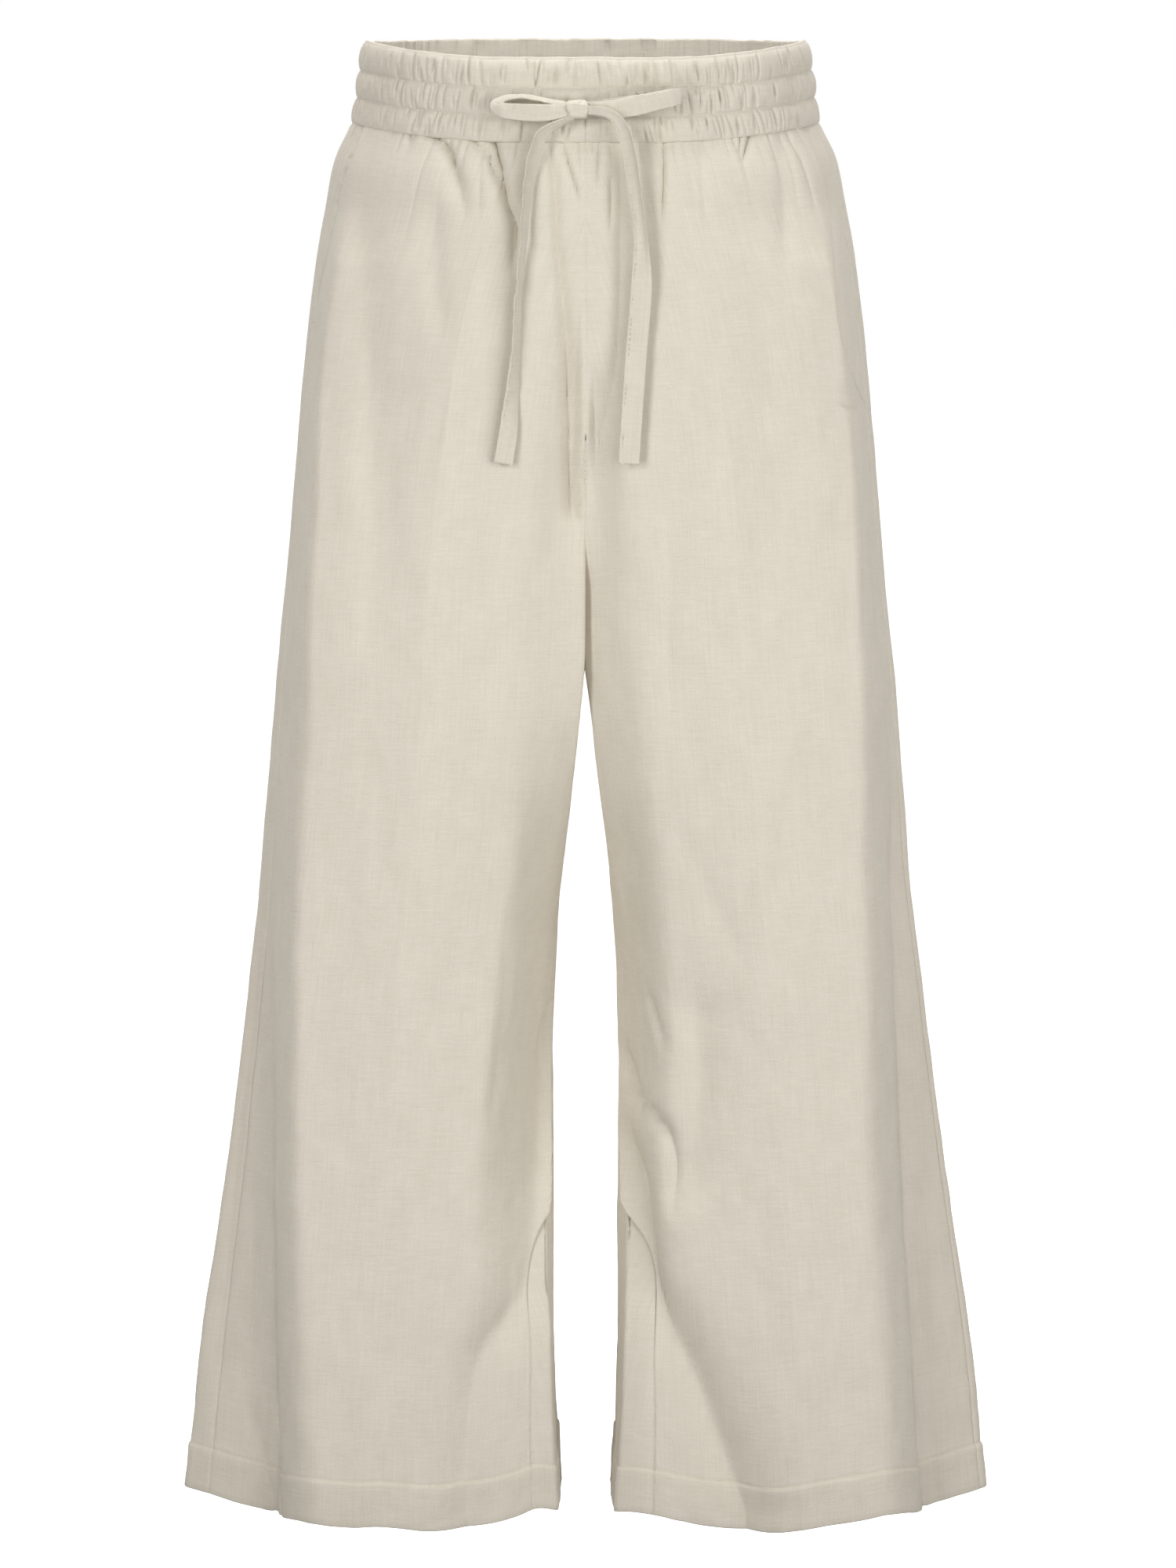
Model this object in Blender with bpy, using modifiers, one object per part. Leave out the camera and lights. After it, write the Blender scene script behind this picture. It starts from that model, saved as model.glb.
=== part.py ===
"""Wide-leg pull-on linen trousers, filled out with no wearer: two fronts, two backs, two pocket facings, an
elasticated waistband of three channels, and a flat drawstring tied in a bow.

Frame: metres, +Z up, the garment's front faces -Y, and the origin is the centre of the waist, where the wearer
holds it. Tables are in centimetres. A place on the cloth has two coordinates: drop, the distance down the side
seam below the waist, and turn, which goes round one half of the garment: 0 at the centre front (or the inner leg
below the crotch), 1 at the middle of the front, 2 at the outer side, 3 at the middle of the back, and 4 at the
centre back (or the inner leg again)."""

import math

import bpy
import numpy as np

CM = 0.01
STRIP = 0.17  # width of the column along an inner or centre seam, cm
CLOTH = 0.0012  # a linen wall
HEM = 0.0024  # the turned-up hem is two layers
BAND = 0.0030  # waistband: cloth, elastic, cloth
RIBBON = 0.0016  # drawstring, a strip folded and stitched flat
SEAM = 0.022  # half of the gap left at each seam, cm
WAIST_TOP, WAIST_SEAM, HEM_DROP = -2.0, 3.12, 93.4  # drops at the side seam, cm
CHANNELS = (0.344, 0.686)  # the two stitched lines between the three channels, as shares of the band's height
FRONT_DIP, BACK_RISE = 1.5, 0.55  # how far the waist sinks at the front and rises at the back
CROTCH, FRONT_CURVE, BACK_CURVE = 29.0, 23.0, 18.0  # drops of the crotch point and of where each curve begins
HEM_TURN = 3.0  # height of the hem
FIN_FLAT = 0.78  # how much gentler the slope is beside the side seam
PANEL_ROWS = 22
# Where a panel's columns lie, as shares of the way from its inner edge to the side: a narrow one along each seam
# keeps the two walls that meet there parallel, and they are closer where the leg turns to the side.
COLUMN_SHARES = (0.0, 0.012, 0.07, 0.15, 0.24, 0.34, 0.45, 0.56, 0.65, 0.72, 0.78, 0.84, 0.91, 0.988, 1.0)
CROTCH_ROW = 8
BAND_STATIONS = 60


def table(names, *rows):
    """A table as a dictionary of columns."""
    return dict(zip(names.split(), np.array(rows, float).T, strict=True))


# The garment's horizontal section at each drop: half width at the side, the inner leg, the depths of front and
# back, the middle of front and back, how square the turn to the side is (2 is an ellipse), and how deep the front
# and the back round off towards the centre seam or the inner leg.
FORM = table(
    "drop side inner front back apex square front_round back_round",
    (-2.6, 14.10, 0.03, 9.30, 9.20, 4.2, 2.05, 0.10, 0.10),
    (0.0, 14.50, 0.03, 9.50, 9.40, 4.3, 2.05, 0.10, 0.10),
    (3.1, 15.00, 0.03, 9.80, 9.75, 4.6, 2.10, 0.10, 0.12),
    (5.3, 16.05, 0.03, 10.20, 10.30, 5.2, 2.15, 0.10, 0.15),
    (8.3, 16.72, 0.03, 10.50, 11.00, 6.0, 2.20, 0.10, 0.20),
    (11.4, 17.30, 0.03, 10.70, 11.60, 6.8, 2.25, 0.12, 0.30),
    (14.4, 17.72, 0.03, 10.85, 12.10, 7.5, 2.30, 0.20, 0.50),
    (20.5, 18.38, 0.03, 10.90, 12.50, 8.5, 2.30, 0.75, 1.60),
    (26.6, 18.95, 0.03, 10.75, 12.20, 9.3, 2.30, 1.55, 3.00),
    (32.8, 19.50, 0.03, 10.35, 11.40, 9.8, 2.30, 2.90, 4.20),
    (38.0, 20.05, 0.14, 10.00, 10.80, 10.1, 2.30, 3.30, 5.20),
    (41.0, 20.30, 0.45, 9.85, 10.60, 10.3, 2.35, 3.60, 6.00),
    (45.2, 20.70, 0.88, 9.60, 10.20, 10.7, 2.40, 4.30, 7.00),
    (51.4, 21.30, 1.63, 9.20, 9.70, 11.3, 2.45, 6.20, 7.60),
    (57.7, 22.03, 2.11, 8.90, 9.40, 12.0, 2.50, 7.60, 8.20),
    (64.0, 22.80, 2.26, 8.60, 9.10, 12.5, 2.55, 7.20, 7.80),
    (70.3, 23.56, 2.19, 8.45, 8.90, 12.9, 2.55, 5.80, 6.60),
    (76.6, 24.50, 2.20, 8.40, 8.70, 13.4, 2.50, 3.40, 4.60),
    (83.0, 25.50, 2.26, 8.36, 8.55, 13.8, 2.45, 2.10, 3.20),
    (89.4, 26.20, 2.07, 8.20, 8.35, 14.1, 2.40, 1.70, 2.60),
    (94.0, 26.70, 1.86, 7.90, 8.10, 14.2, 2.40, 1.60, 2.40),
)

# Lower down, the front and back of each leg fall flat and turn at a soft corner towards the side seam and the
# inseam. facet is how far the section is from an ellipse; outer and inner are the corners' distances from the centre,
# soft is how gently each leg turns there, and fin is where the front and back close in on the side seam.
CORNERS = table(
    "drop facet outer_left outer_right inner_left inner_right soft_left soft_right fin_left fin_right",
    (-2.6, 0.00, 14.0, 14.0, 2.5, 2.5, 0.10, 0.14, 14.0, 14.0),
    (5.0, 0.25, 15.2, 15.2, 2.5, 2.5, 0.10, 0.14, 15.4, 15.4),
    (12.0, 0.74, 16.6, 16.6, 2.5, 2.5, 0.10, 0.14, 17.0, 17.0),
    (20.0, 0.84, 17.6, 17.6, 2.7, 2.5, 0.11, 0.14, 18.1, 18.0),
    (29.0, 0.87, 18.3, 18.2, 3.7, 3.0, 0.17, 0.14, 18.9, 18.7),
    (36.0, 0.88, 18.8, 18.5, 4.5, 3.4, 0.19, 0.14, 19.5, 19.1),
    (43.0, 0.88, 18.9, 18.6, 5.0, 4.2, 0.18, 0.14, 19.9, 19.5),
    (50.0, 0.88, 18.9, 18.6, 5.0, 4.9, 0.12, 0.14, 20.4, 19.9),
    (57.0, 0.88, 18.9, 18.7, 5.5, 5.2, 0.10, 0.14, 20.9, 20.3),
    (64.0, 0.92, 18.9, 18.8, 6.4, 5.5, 0.09, 0.14, 21.3, 20.6),
    (70.0, 0.92, 18.9, 19.0, 7.1, 5.3, 0.09, 0.15, 21.5, 20.9),
    (76.0, 0.92, 18.8, 19.4, 7.5, 4.7, 0.09, 0.17, 21.7, 21.3),
    (83.0, 0.92, 18.6, 20.1, 7.4, 4.3, 0.11, 0.18, 21.8, 22.1),
    (94.0, 0.92, 18.2, 20.8, 7.0, 4.0, 0.14, 0.18, 21.2, 23.0),
)

# How much lower than at its side seam the hem hangs, by the place across the leg from the inseam to the side seam.
HEM_SAG = table(
    "share left right",
    (-1.00, -0.10, 0.00),
    (-0.90, -0.30, -0.10),
    (-0.78, 0.20, 0.05),
    (-0.66, 0.58, 0.44),
    (-0.54, 0.80, 0.84),
    (-0.30, 0.86, 1.28),
    (-0.18, 0.66, 1.28),
    (-0.06, 0.52, 1.00),
    (0.06, 0.60, 0.68),
    (0.18, 0.56, 0.45),
    (0.28, 0.48, 0.30),
    (0.36, 0.50, 0.12),
    (0.42, 0.62, -0.02),
    (0.48, 0.88, 0.00),
    (0.54, 0.98, 0.12),
    (0.60, 0.82, 0.38),
    (0.66, 0.66, 0.60),
    (0.74, 0.50, 0.46),
    (0.86, 0.20, 0.20),
    (1.00, 0.00, 0.00),
)

# Where the seams run: the side seam in degrees past the middle of the front, and the inseam in degrees ahead of
# the innermost line of the leg, for each half.
SEAMS = table(
    "drop side_left side_right in_left in_right",
    (-2.6, 74, 74, 0, 0),
    (29.0, 74, 75, 0, 0),
    (40.0, 72, 76, 1, 1),
    (51.0, 69, 76, 4, 6),
    (66.0, 65, 76, 17, 18),
    (70.8, 64, 76, 24, 25),
    (75.4, 63, 76, 32.5, 33),
    (84.0, 61, 75, 34.5, 37),
    (94.0, 60, 75, 35.5, 38.5),
)

# The edge of each pocket opening, as its distance from the centre front. It ends at the side seam.
POCKETS = table(
    "drop left right",
    (2.0, 13.75, 13.70),
    (3.5, 14.20, 14.10),
    (6.7, 15.35, 15.15),
    (9.9, 16.05, 15.55),
    (13.0, 16.80, 15.75),
    (16.0, 17.55, 16.05),
    (19.0, 18.20, 16.75),
    (21.5, 18.60, 17.90),
    (24.0, 18.90, 18.80),
)
POCKET_END = {"left": 15.4, "right": 21.0}

UNDERLAP = 1.0  # how far a facing runs under the front
TUCK = 0.64  # how far a facing lies below the front's face there

# The largest folds: half, face, the line as (distance from the centre, drop), height (a trough is negative), the widths towards
# the centre and towards the side, how sharp (2 is a soft roll, 1 a crease), and how far each end takes to fade. A
# pair gives the value at the top and at the bottom of the line.
FOLDS = (
    # The outer sides of the lower legs.
    ("left", "front", ((21.1, 50), (21.7, 57.2), (22.1, 62.8), (22.8, 67.6), (23.2, 71.4), (23.8, 77.6), (24.3, 82.5), (24.6, 87)), (-0.30, -0.25), 1.6, 0.6, 1.3, 9, 5),
    ("left", "front", ((20.6, 54), (20.8, 68), (20.9, 80), (20.9, 92)), (-0.15, -0.8), 1.2, 1.3, 2.0, 9, 0),
    ("right", "front", ((20.0, 47), (20.6, 60), (21.0, 67.8), (21.3, 75.1), (21.8, 82.4), (22.5, 92)), (-0.45, -0.55), 0.9, 1.6, 1.6, 9, 0),
    # The insides of the lower legs.
    ("left", "front", ((2.4, 60), (2.8, 71.0), (3.2, 76.6), (3.9, 79.0), (5.2, 80.6), (6.3, 81.8), (7.1, 83.6), (7.6, 86), (7.8, 93)), (-0.55, -1.05), (0.9, 4.0), (2.4, 1.5), 1.4, 7, 0),
    ("right", "front", ((2.9, 69.0), (3.3, 75.0), (3.8, 77.4), (5.4, 80.7), (6.8, 83.2), (8.1, 86.1), (9.1, 88.6), (10.4, 92)), (-1.6, -2.2), (1.2, 4.6), (1.4, 2.4), 1.25, 5, 0),
    # Soft troughs down the thighs.
    ("left", "front", ((14.3, 7), (14.1, 12.2), (13.6, 20), (13.2, 27.5), (12.9, 36)), -0.28, 1.8, 1.2, 2.0, 6, 9),
    ("left", "front", ((1.4, 15), (1.3, 20), (1.4, 25), (1.6, 30)), -0.55, 1.3, 1.8, 2.0, 6, 6),
    ("right", "front", ((0.6, 18), (0.6, 24), (0.9, 30)), -0.45, 1.2, 1.3, 2.0, 6, 6),
    # Down the backs.
    ("left", "back", ((6.0, 24), (7.5, 36), (8.0, 50)), -0.50, 2.2, 2.2, 2.0, 9, 7),
    ("right", "back", ((5.6, 25), (7.2, 38), (8.4, 54)), -0.55, 2.4, 2.0, 2.0, 9, 7),
    ("left", "back", ((19.4, 52), (20.2, 64), (20.8, 76), (21.4, 92)), -1.0, 1.2, 2.2, 1.6, 9, 0),
    ("right", "back", ((20.8, 50), (21.8, 64), (22.6, 76), (23.2, 88)), -1.0, 2.3, 0.9, 1.5, 9, 5),
    ("left", "back", ((3.4, 68), (4.6, 76), (7.4, 82), (10.2, 92)), (-1.1, -1.8), (2.2, 4.6), (1.8, 3.0), 1.4, 7, 0),
    ("right", "back", ((2.8, 64), (3.4, 74), (5.2, 80), (7.2, 85), (7.9, 92)), (-1.0, -1.6), (1.8, 4.2), (2.8, 1.8), 1.5, 7, 0),
)

# Drawstring: x, y, z along the middle of the strip, its width, its twist from lying flat to the front, and how far
# its edges curl forward.
KNOT = {"centre": (-0.54, -10.72, -2.62), "size": (1.36, 1.00, 1.16)}
TAIL_LEFT = table(
    "x y z width twist cup",
    (-0.85, -10.78, -3.48, 0.50, 50, 0),
    (-1.75, -10.95, -3.52, 0.72, 50, 0.1),
    (-2.60, -11.02, -4.00, 1.00, 48, 0.2),
    (-3.22, -11.02, -5.20, 1.15, 48, 0.2),
    (-3.62, -11.10, -7.30, 1.15, 55, 0.2),
    (-3.92, -11.34, -10.70, 1.10, 64, 0.1),
    (-4.18, -11.46, -14.10, 1.10, 68, 0),
    (-4.46, -11.42, -18.60, 1.15, 60, 0),
    (-4.86, -11.32, -22.60, 1.25, 24, 0),
    (-5.18, -11.25, -24.70, 1.25, 6, 0.1),
)
TAIL_RIGHT = table(
    "x y z width twist cup",
    (0.28, -11.10, -2.68, 0.55, -10, 0),
    (1.20, -11.32, -2.80, 0.62, -15, 0.2),
    (1.95, -11.42, -3.22, 0.80, -15, 0.5),
    (2.45, -11.38, -4.10, 0.98, -15, 0.8),
    (2.75, -11.30, -5.30, 1.05, -15, 0.9),
    (3.10, -11.32, -7.60, 1.02, -12, 0.9),
    (3.48, -11.50, -10.70, 1.00, -8, 0.7),
    (3.50, -11.60, -13.00, 1.30, -4, 0.1),
    (3.15, -11.62, -18.00, 1.35, 0, 0),
    (2.70, -11.40, -24.70, 1.35, 6, 0.1),
)
LOOP_LEFT = table(
    "x y z width twist",
    (-1.32, -10.95, -2.78, 0.70, 0),
    (-2.60, -11.15, -2.84, 1.05, 0),
    (-4.20, -11.20, -2.80, 1.02, 0),
    (-5.25, -11.10, -2.64, 0.90, 0),
    (-5.62, -10.85, -2.40, 0.75, 15),
    (-5.30, -10.62, -2.04, 0.62, 45),
    (-4.20, -10.52, -1.82, 0.60, 66),
    (-2.80, -10.48, -1.98, 0.60, 66),
    (-1.34, -10.50, -2.36, 0.60, 30),
)
LOOP_RIGHT = table(
    "x y z width twist",
    (0.25, -10.76, -2.50, 0.65, 0),
    (1.50, -10.98, -2.62, 1.10, 0),
    (3.00, -11.12, -2.44, 1.22, 0),
    (4.60, -11.08, -2.08, 1.15, 0),
    (5.70, -10.93, -1.86, 1.05, 0),
    (5.95, -10.72, -1.82, 0.95, 0),
    (5.40, -10.44, -1.90, 0.95, 0),
    (3.40, -10.38, -2.15, 0.92, 0),
    (1.60, -10.38, -2.35, 0.85, 0),
    (0.30, -10.42, -2.45, 0.70, 0),
)

LINEN = (0.68, 0.62, 0.53)


def along(columns, name, at, key="drop"):
    """One column of a table, read anywhere on a smooth curve through its rows."""
    knots, values = columns[key], columns[name]
    slopes = np.gradient(values, knots)
    at = np.clip(np.asarray(at, float), knots[0], knots[-1])
    i = np.clip(np.searchsorted(knots, at) - 1, 0, len(knots) - 2)
    span = knots[i + 1] - knots[i]
    t = (at - knots[i]) / span
    return (
        values[i] * (1 + 2 * t) * (1 - t) ** 2
        + slopes[i] * span * t * (1 - t) ** 2
        + values[i + 1] * (3 - 2 * t) * t**2
        - slopes[i + 1] * span * t**2 * (1 - t)
    )


def ease(value, low, high):
    """0 below low, 1 above high, smooth between."""
    t = np.clip((np.asarray(value, float) - low) / (high - low), 0, 1)
    return t * t * (3 - 2 * t)


def bend(share, corner, soft, fin=None, level=0.07):
    """From 1 to 0 as share goes from 0 to 1: nearly level up to the corner, then a steep slope, and past the fin a
    slight one."""

    def slope_sum(at, middle, width):
        low, high = np.clip(middle - width, 0, 1), np.clip(middle + width, 0.05, 1)
        t = np.clip((at - low) / (high - low), 0, 1)
        return (high - low) * (t**3 - t**4 / 2) + np.clip(at - high, 0, None)

    def fallen(at):
        total = level * at + 0.93 * slope_sum(at, corner, soft)
        return total if fin is None else total - 0.93 * FIN_FLAT * slope_sum(at, fin, 0.05)

    return 1 - fallen(share) / fallen(np.ones_like(share))


def section(half, turn, drop):
    """The undisturbed half section: distance from the centre, and depth (front is negative)."""
    turn, drop = np.broadcast_arrays(np.asarray(turn, float), np.asarray(drop, float))
    turn = np.where(turn > 4, turn - 4, turn)
    is_front = turn <= 2
    p = np.clip(np.where(is_front, turn, 4 - turn), 0, 2)
    side, inner = along(FORM, "side", drop), along(FORM, "inner", drop)
    apex, square = along(FORM, "apex", drop), along(FORM, "square", drop)
    depth = np.where(is_front, along(FORM, "front", drop), along(FORM, "back", drop))
    begins = np.where(is_front, FRONT_CURVE, BACK_CURVE)
    rounded = np.where(is_front, along(FORM, "front_round", drop), along(FORM, "back_round", drop))
    # Just below the crotch the left leg's front lies over the right one's.
    if half == "left":
        rounded = rounded * np.where(is_front, 1 - 0.32 * ease(drop, 29, 33) * (1 - ease(drop, 38, 48)), 1.0)
    lean = rounded * (0.9 - 0.6 * ease(drop, 24, 29)) * (1 - ease(drop, 38, 48))
    flat = depth - rounded
    start = flat * np.sqrt(1 - np.clip((drop - begins) / (CROTCH - begins), 0, 1) ** 2)
    facet = along(CORNERS, "facet", drop) * np.where(is_front, 1.0, 0.2 + 0.6 * ease(drop, 30, 52))
    soft = along(CORNERS, f"soft_{half}", drop)
    level = 0.07 - 0.045 * (ease(drop, 6, 12) - ease(drop, 34, 56))
    # From the centre seam, the crotch curve or the inner leg: straight forward where the two halves press on each
    # other, for the first third of the turn, then round to the middle of the front or back.
    t = np.clip(p * 3, 0, 1)
    y_press = start + (flat - start) * t
    t = np.clip((p - 1 / 3) * 1.5, 0, 1)
    b0, b1, b2, b3 = (1 - t) ** 3, 3 * t * (1 - t) ** 2, 3 * t * t * (1 - t), t**3
    x0 = b0 * inner + b1 * (inner + lean) + b2 * (apex - 0.60 * (apex - inner)) + b3 * apex
    y0 = b0 * flat + b1 * (flat + 0.62 * rounded) + (b2 + b3) * depth
    share = 1 - np.sin(t * math.pi / 2)
    corner = (apex - along(CORNERS, f"inner_{half}", drop)) / (apex - inner)
    x0 = x0 * (1 - facet) + facet * (apex - (apex - inner) * share)
    y0 = y0 * (1 - facet) + facet * (flat + rounded * bend(share, corner, soft))
    x0, y0 = np.where(p < 1 / 3, inner, x0), np.where(p < 1 / 3, y_press, np.minimum(y0, depth))
    # From there to the outer side, between a quarter of a squared ellipse and two flats with a corner.
    angle = np.clip(p - 1, 0, 1) * math.pi / 2
    share = np.sin(angle)
    corner = (along(CORNERS, f"outer_{half}", drop) - apex) / (side - apex)
    fin = np.clip((along(CORNERS, f"fin_{half}", drop) - apex) / (side - apex), corner + 0.1, 0.93)
    x1 = share ** (2 / square) * (1 - facet) + share * facet
    y1 = np.clip(np.cos(angle), 0, 1) ** (2 / square) * (1 - facet) + facet * bend(share, corner, soft, fin, level)
    x1, y1 = apex + (side - apex) * x1, depth * y1
    x, y = np.where(p <= 1, x0, x1), np.where(p <= 1, y0, y1)
    return x, np.where(is_front, -y, y)


DROPS = np.linspace(WAIST_TOP - 0.5, 94.0, 420)
TURNS = np.linspace(0, 5, 601)
GIRTHS, ACROSS = {}, {}
for _half in ("left", "right"):
    _x, _y = section(_half, TURNS[None, :], DROPS[:, None])
    _step = np.hypot(np.diff(_x, axis=1), np.diff(_y, axis=1))
    GIRTHS[_half] = np.concatenate([np.zeros((len(DROPS), 1)), np.cumsum(_step, axis=1)], axis=1)
    ACROSS[_half] = _x


def girth(half, turn, drop):
    """Distance along the cloth from the centre front or inner leg to this turn."""
    turn, drop = np.broadcast_arrays(np.asarray(turn, float), np.asarray(drop, float))
    i = np.clip((drop - DROPS[0]) / (DROPS[1] - DROPS[0]), 0, len(DROPS) - 1.001)
    j = np.clip(turn / TURNS[1], 0, len(TURNS) - 1.001)
    a, b = i.astype(int), j.astype(int)
    u, v = i - a, j - b
    lengths = GIRTHS[half]
    low = lengths[a, b] * (1 - v) + lengths[a, b + 1] * v
    high = lengths[a + 1, b] * (1 - v) + lengths[a + 1, b + 1] * v
    return low * (1 - u) + high * u


def turn_at(half, distance, drop, face):
    """The turn at which the cloth is this far from the centre line, on the front or the back."""
    row = int(np.clip(np.searchsorted(DROPS, drop), 0, len(DROPS) - 1))
    if face == "front":
        keep = slice(0, 241)
        return float(np.interp(distance, ACROSS[half][row, keep], TURNS[keep]))
    keep = slice(240, 481)
    return float(np.interp(distance, ACROSS[half][row, keep][::-1], TURNS[keep][::-1]))


def smooth_line(points, count):
    """A smooth line through these points."""
    points = np.array(points, float)
    steps = np.hypot(*np.diff(points[:, :2], axis=0).T) + 1e-9
    way = np.concatenate([[0], np.cumsum(steps)])
    columns = {"way": way, **{str(i): points[:, i] for i in range(points.shape[1])}}
    at = np.linspace(0, way[-1], count)
    return np.stack([along(columns, str(i), at, "way") for i in range(points.shape[1])], axis=-1)


def seam_turn(half, which, drop):
    """The turn of the side seam or of the inseam."""
    degrees = along(SEAMS, f"{which}_{half}", drop)
    if which == "side":
        return 1 + degrees / 90
    return np.where(np.asarray(drop) < CROTCH, 0.0, degrees / 90)


def pocket_edge(half, drop):
    """Girth of the pocket's edge, or of the side seam below it."""
    seam = girth(half, seam_turn(half, "side", drop), drop)
    edge = np.array(
        [float(girth(half, turn_at(half, float(along(POCKETS, half, d)), d, "front"), d)) for d in np.ravel(drop)]
    ).reshape(np.shape(drop))
    end = POCKET_END[half]
    return np.where(np.asarray(drop) < end, np.minimum(edge, seam), seam), seam


def from_side(half, turn, drop):
    """Distance along the cloth from the outer side: negative on the front, positive on the back."""
    return girth(half, turn, drop) - girth(half, 2.0, drop)


FOLD_PATHS = []
for _half, _face, _line, *_rest in FOLDS:
    _points = smooth_line([(x, d) for x, d in _line], 40)
    FOLD_PATHS.append(
        np.array([(float(from_side(_half, turn_at(_half, x, d, _face), d)), d) for x, d in _points])
    )


def relief(half, turn, drop):
    """How far the folds move the cloth outwards, in cm."""
    here = girth(half, turn, drop)
    side_way = here - girth(half, 2.0, drop)
    whole = girth(half, 4.0, drop)
    moved = np.zeros_like(here)
    for (fold_half, face, _, depth, inner_width, outer_width, sharp, fade_in, fade_out), path in zip(
        FOLDS, FOLD_PATHS, strict=True
    ):
        if fold_half != half:
            continue
        begin, end = path[0, 1], path[-1, 1]
        down = np.clip((drop - begin) / (end - begin), 0, 1)
        depth, inner_width, outer_width = (
            value[0] * (1 - down) + value[1] * down if isinstance(value, tuple) else value
            for value in (depth, inner_width, outer_width)
        )
        off = side_way - np.interp(drop, path[:, 1], path[:, 0])
        off = off - whole * np.round(off / whole)
        outwards = off if face == "front" else -off
        width = np.where(outwards > 0, outer_width, inner_width)
        fade = ease(drop, begin - 0.3 * fade_in, begin + 0.7 * fade_in)
        if fade_out:
            fade = fade * (1 - ease(drop, end - 0.7 * fade_out, end + 0.3 * fade_out))
        moved += depth * fade * np.exp(-(np.abs(off / width) ** sharp))

    # The edges that are sewn or pressed together stay together: the centre seam and thighs, and the inseam.
    join = np.minimum(here - girth(half, 1 / 3, drop), girth(half, 4 - 1 / 3, drop) - here)
    touching = 1 - ease(drop, 38, 43)
    moved *= 1 - touching * (1 - ease(join, 0.0, 0.45))
    # Lower down they stay shallow on the corner beside the inseam.
    corner = np.minimum(np.abs(here - girth(half, 1 / 3, drop)), np.abs(girth(half, 4 - 1 / 3, drop) - here))
    moved *= 1 - 0.78 * ease(drop, 58, 66) * np.exp(-((corner / 0.55) ** 2))
    return moved


def seat(half, turn, drop, move):
    """A place on the garment, in cm, moved outwards from the undisturbed section."""
    step = 2e-3
    x, y = section(half, turn, drop)
    # Above the crotch curve the section starts a third of the way to the first turn.
    begins = np.where(turn <= 2, FRONT_CURVE, BACK_CURVE)
    least = np.where(drop <= begins + 0.05, 1 / 3 + 0.12, step)
    at = np.where(turn > 4, turn, np.clip(turn, least, 4 - least))
    ahead, behind = section(half, at + step, drop), section(half, at - step, drop)
    tx, ty = ahead[0] - behind[0], ahead[1] - behind[1]
    size = np.hypot(tx, ty) + 1e-12
    # The edges that are sewn together down the centre and round the crotch don't move apart.
    sewn = ease(np.minimum(turn, np.abs(4 - turn)), 0.0, 0.2) + ease(drop, CROTCH, CROTCH + 1)
    x, y = x + ty / size * move * np.clip(sewn, 0, 1), y - tx / size * move
    x = np.maximum(x, 0.03)
    front, back = along(FORM, "front", drop), along(FORM, "back", drop)
    dip = FRONT_DIP * np.clip(-y / front, 0, 1) ** 1.6 - BACK_RISE * np.clip(y / back, 0, 1) ** 1.6
    return x, y, dip


def cloth(half, turn, drop, out=0.0):
    """Places on the garment, in metres. out is a distance outwards in cm, on top of the folds."""
    turn, drop = np.broadcast_arrays(np.asarray(turn, float), np.asarray(drop, float))
    x, y, dip = seat(half, turn, drop, relief(half, turn, drop) + out)
    fall = dip * (1 - ease(drop, 4, 26))
    middle = (along(FORM, "side", drop) + along(FORM, "inner", drop)) / 2
    reach = along(FORM, "side", drop) - middle
    share = np.clip((x - middle) / reach, -1, 1)
    sag = along(HEM_SAG, half, share, "share")
    fall = fall + sag * ease(drop, 74, 93.4)
    press = 0.12 * np.tanh(y / 3) * ease(drop, 26, 31) * (1 - ease(drop, 35, 42))
    sign = -1 if half == "left" else 1
    return np.stack([sign * x + press, y, -(drop + fall)], axis=-1) * CM


def curve_drops(begins, depth, rows):
    """Drops at equal distances down the centre seam and round the crotch curve, ending at the crotch."""
    angle = np.linspace(0, math.pi / 2, 200)
    down = begins + (CROTCH - begins) * np.sin(angle)
    inwards = depth * np.cos(angle)
    drops = np.concatenate([[WAIST_SEAM + SEAM], down])
    steps = np.concatenate(
        [[0], [begins - WAIST_SEAM], np.hypot(np.diff(down), np.diff(inwards))]
    )
    way = np.cumsum(steps)
    return np.interp(np.linspace(0, way[-1], rows + 1), way, drops)


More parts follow.
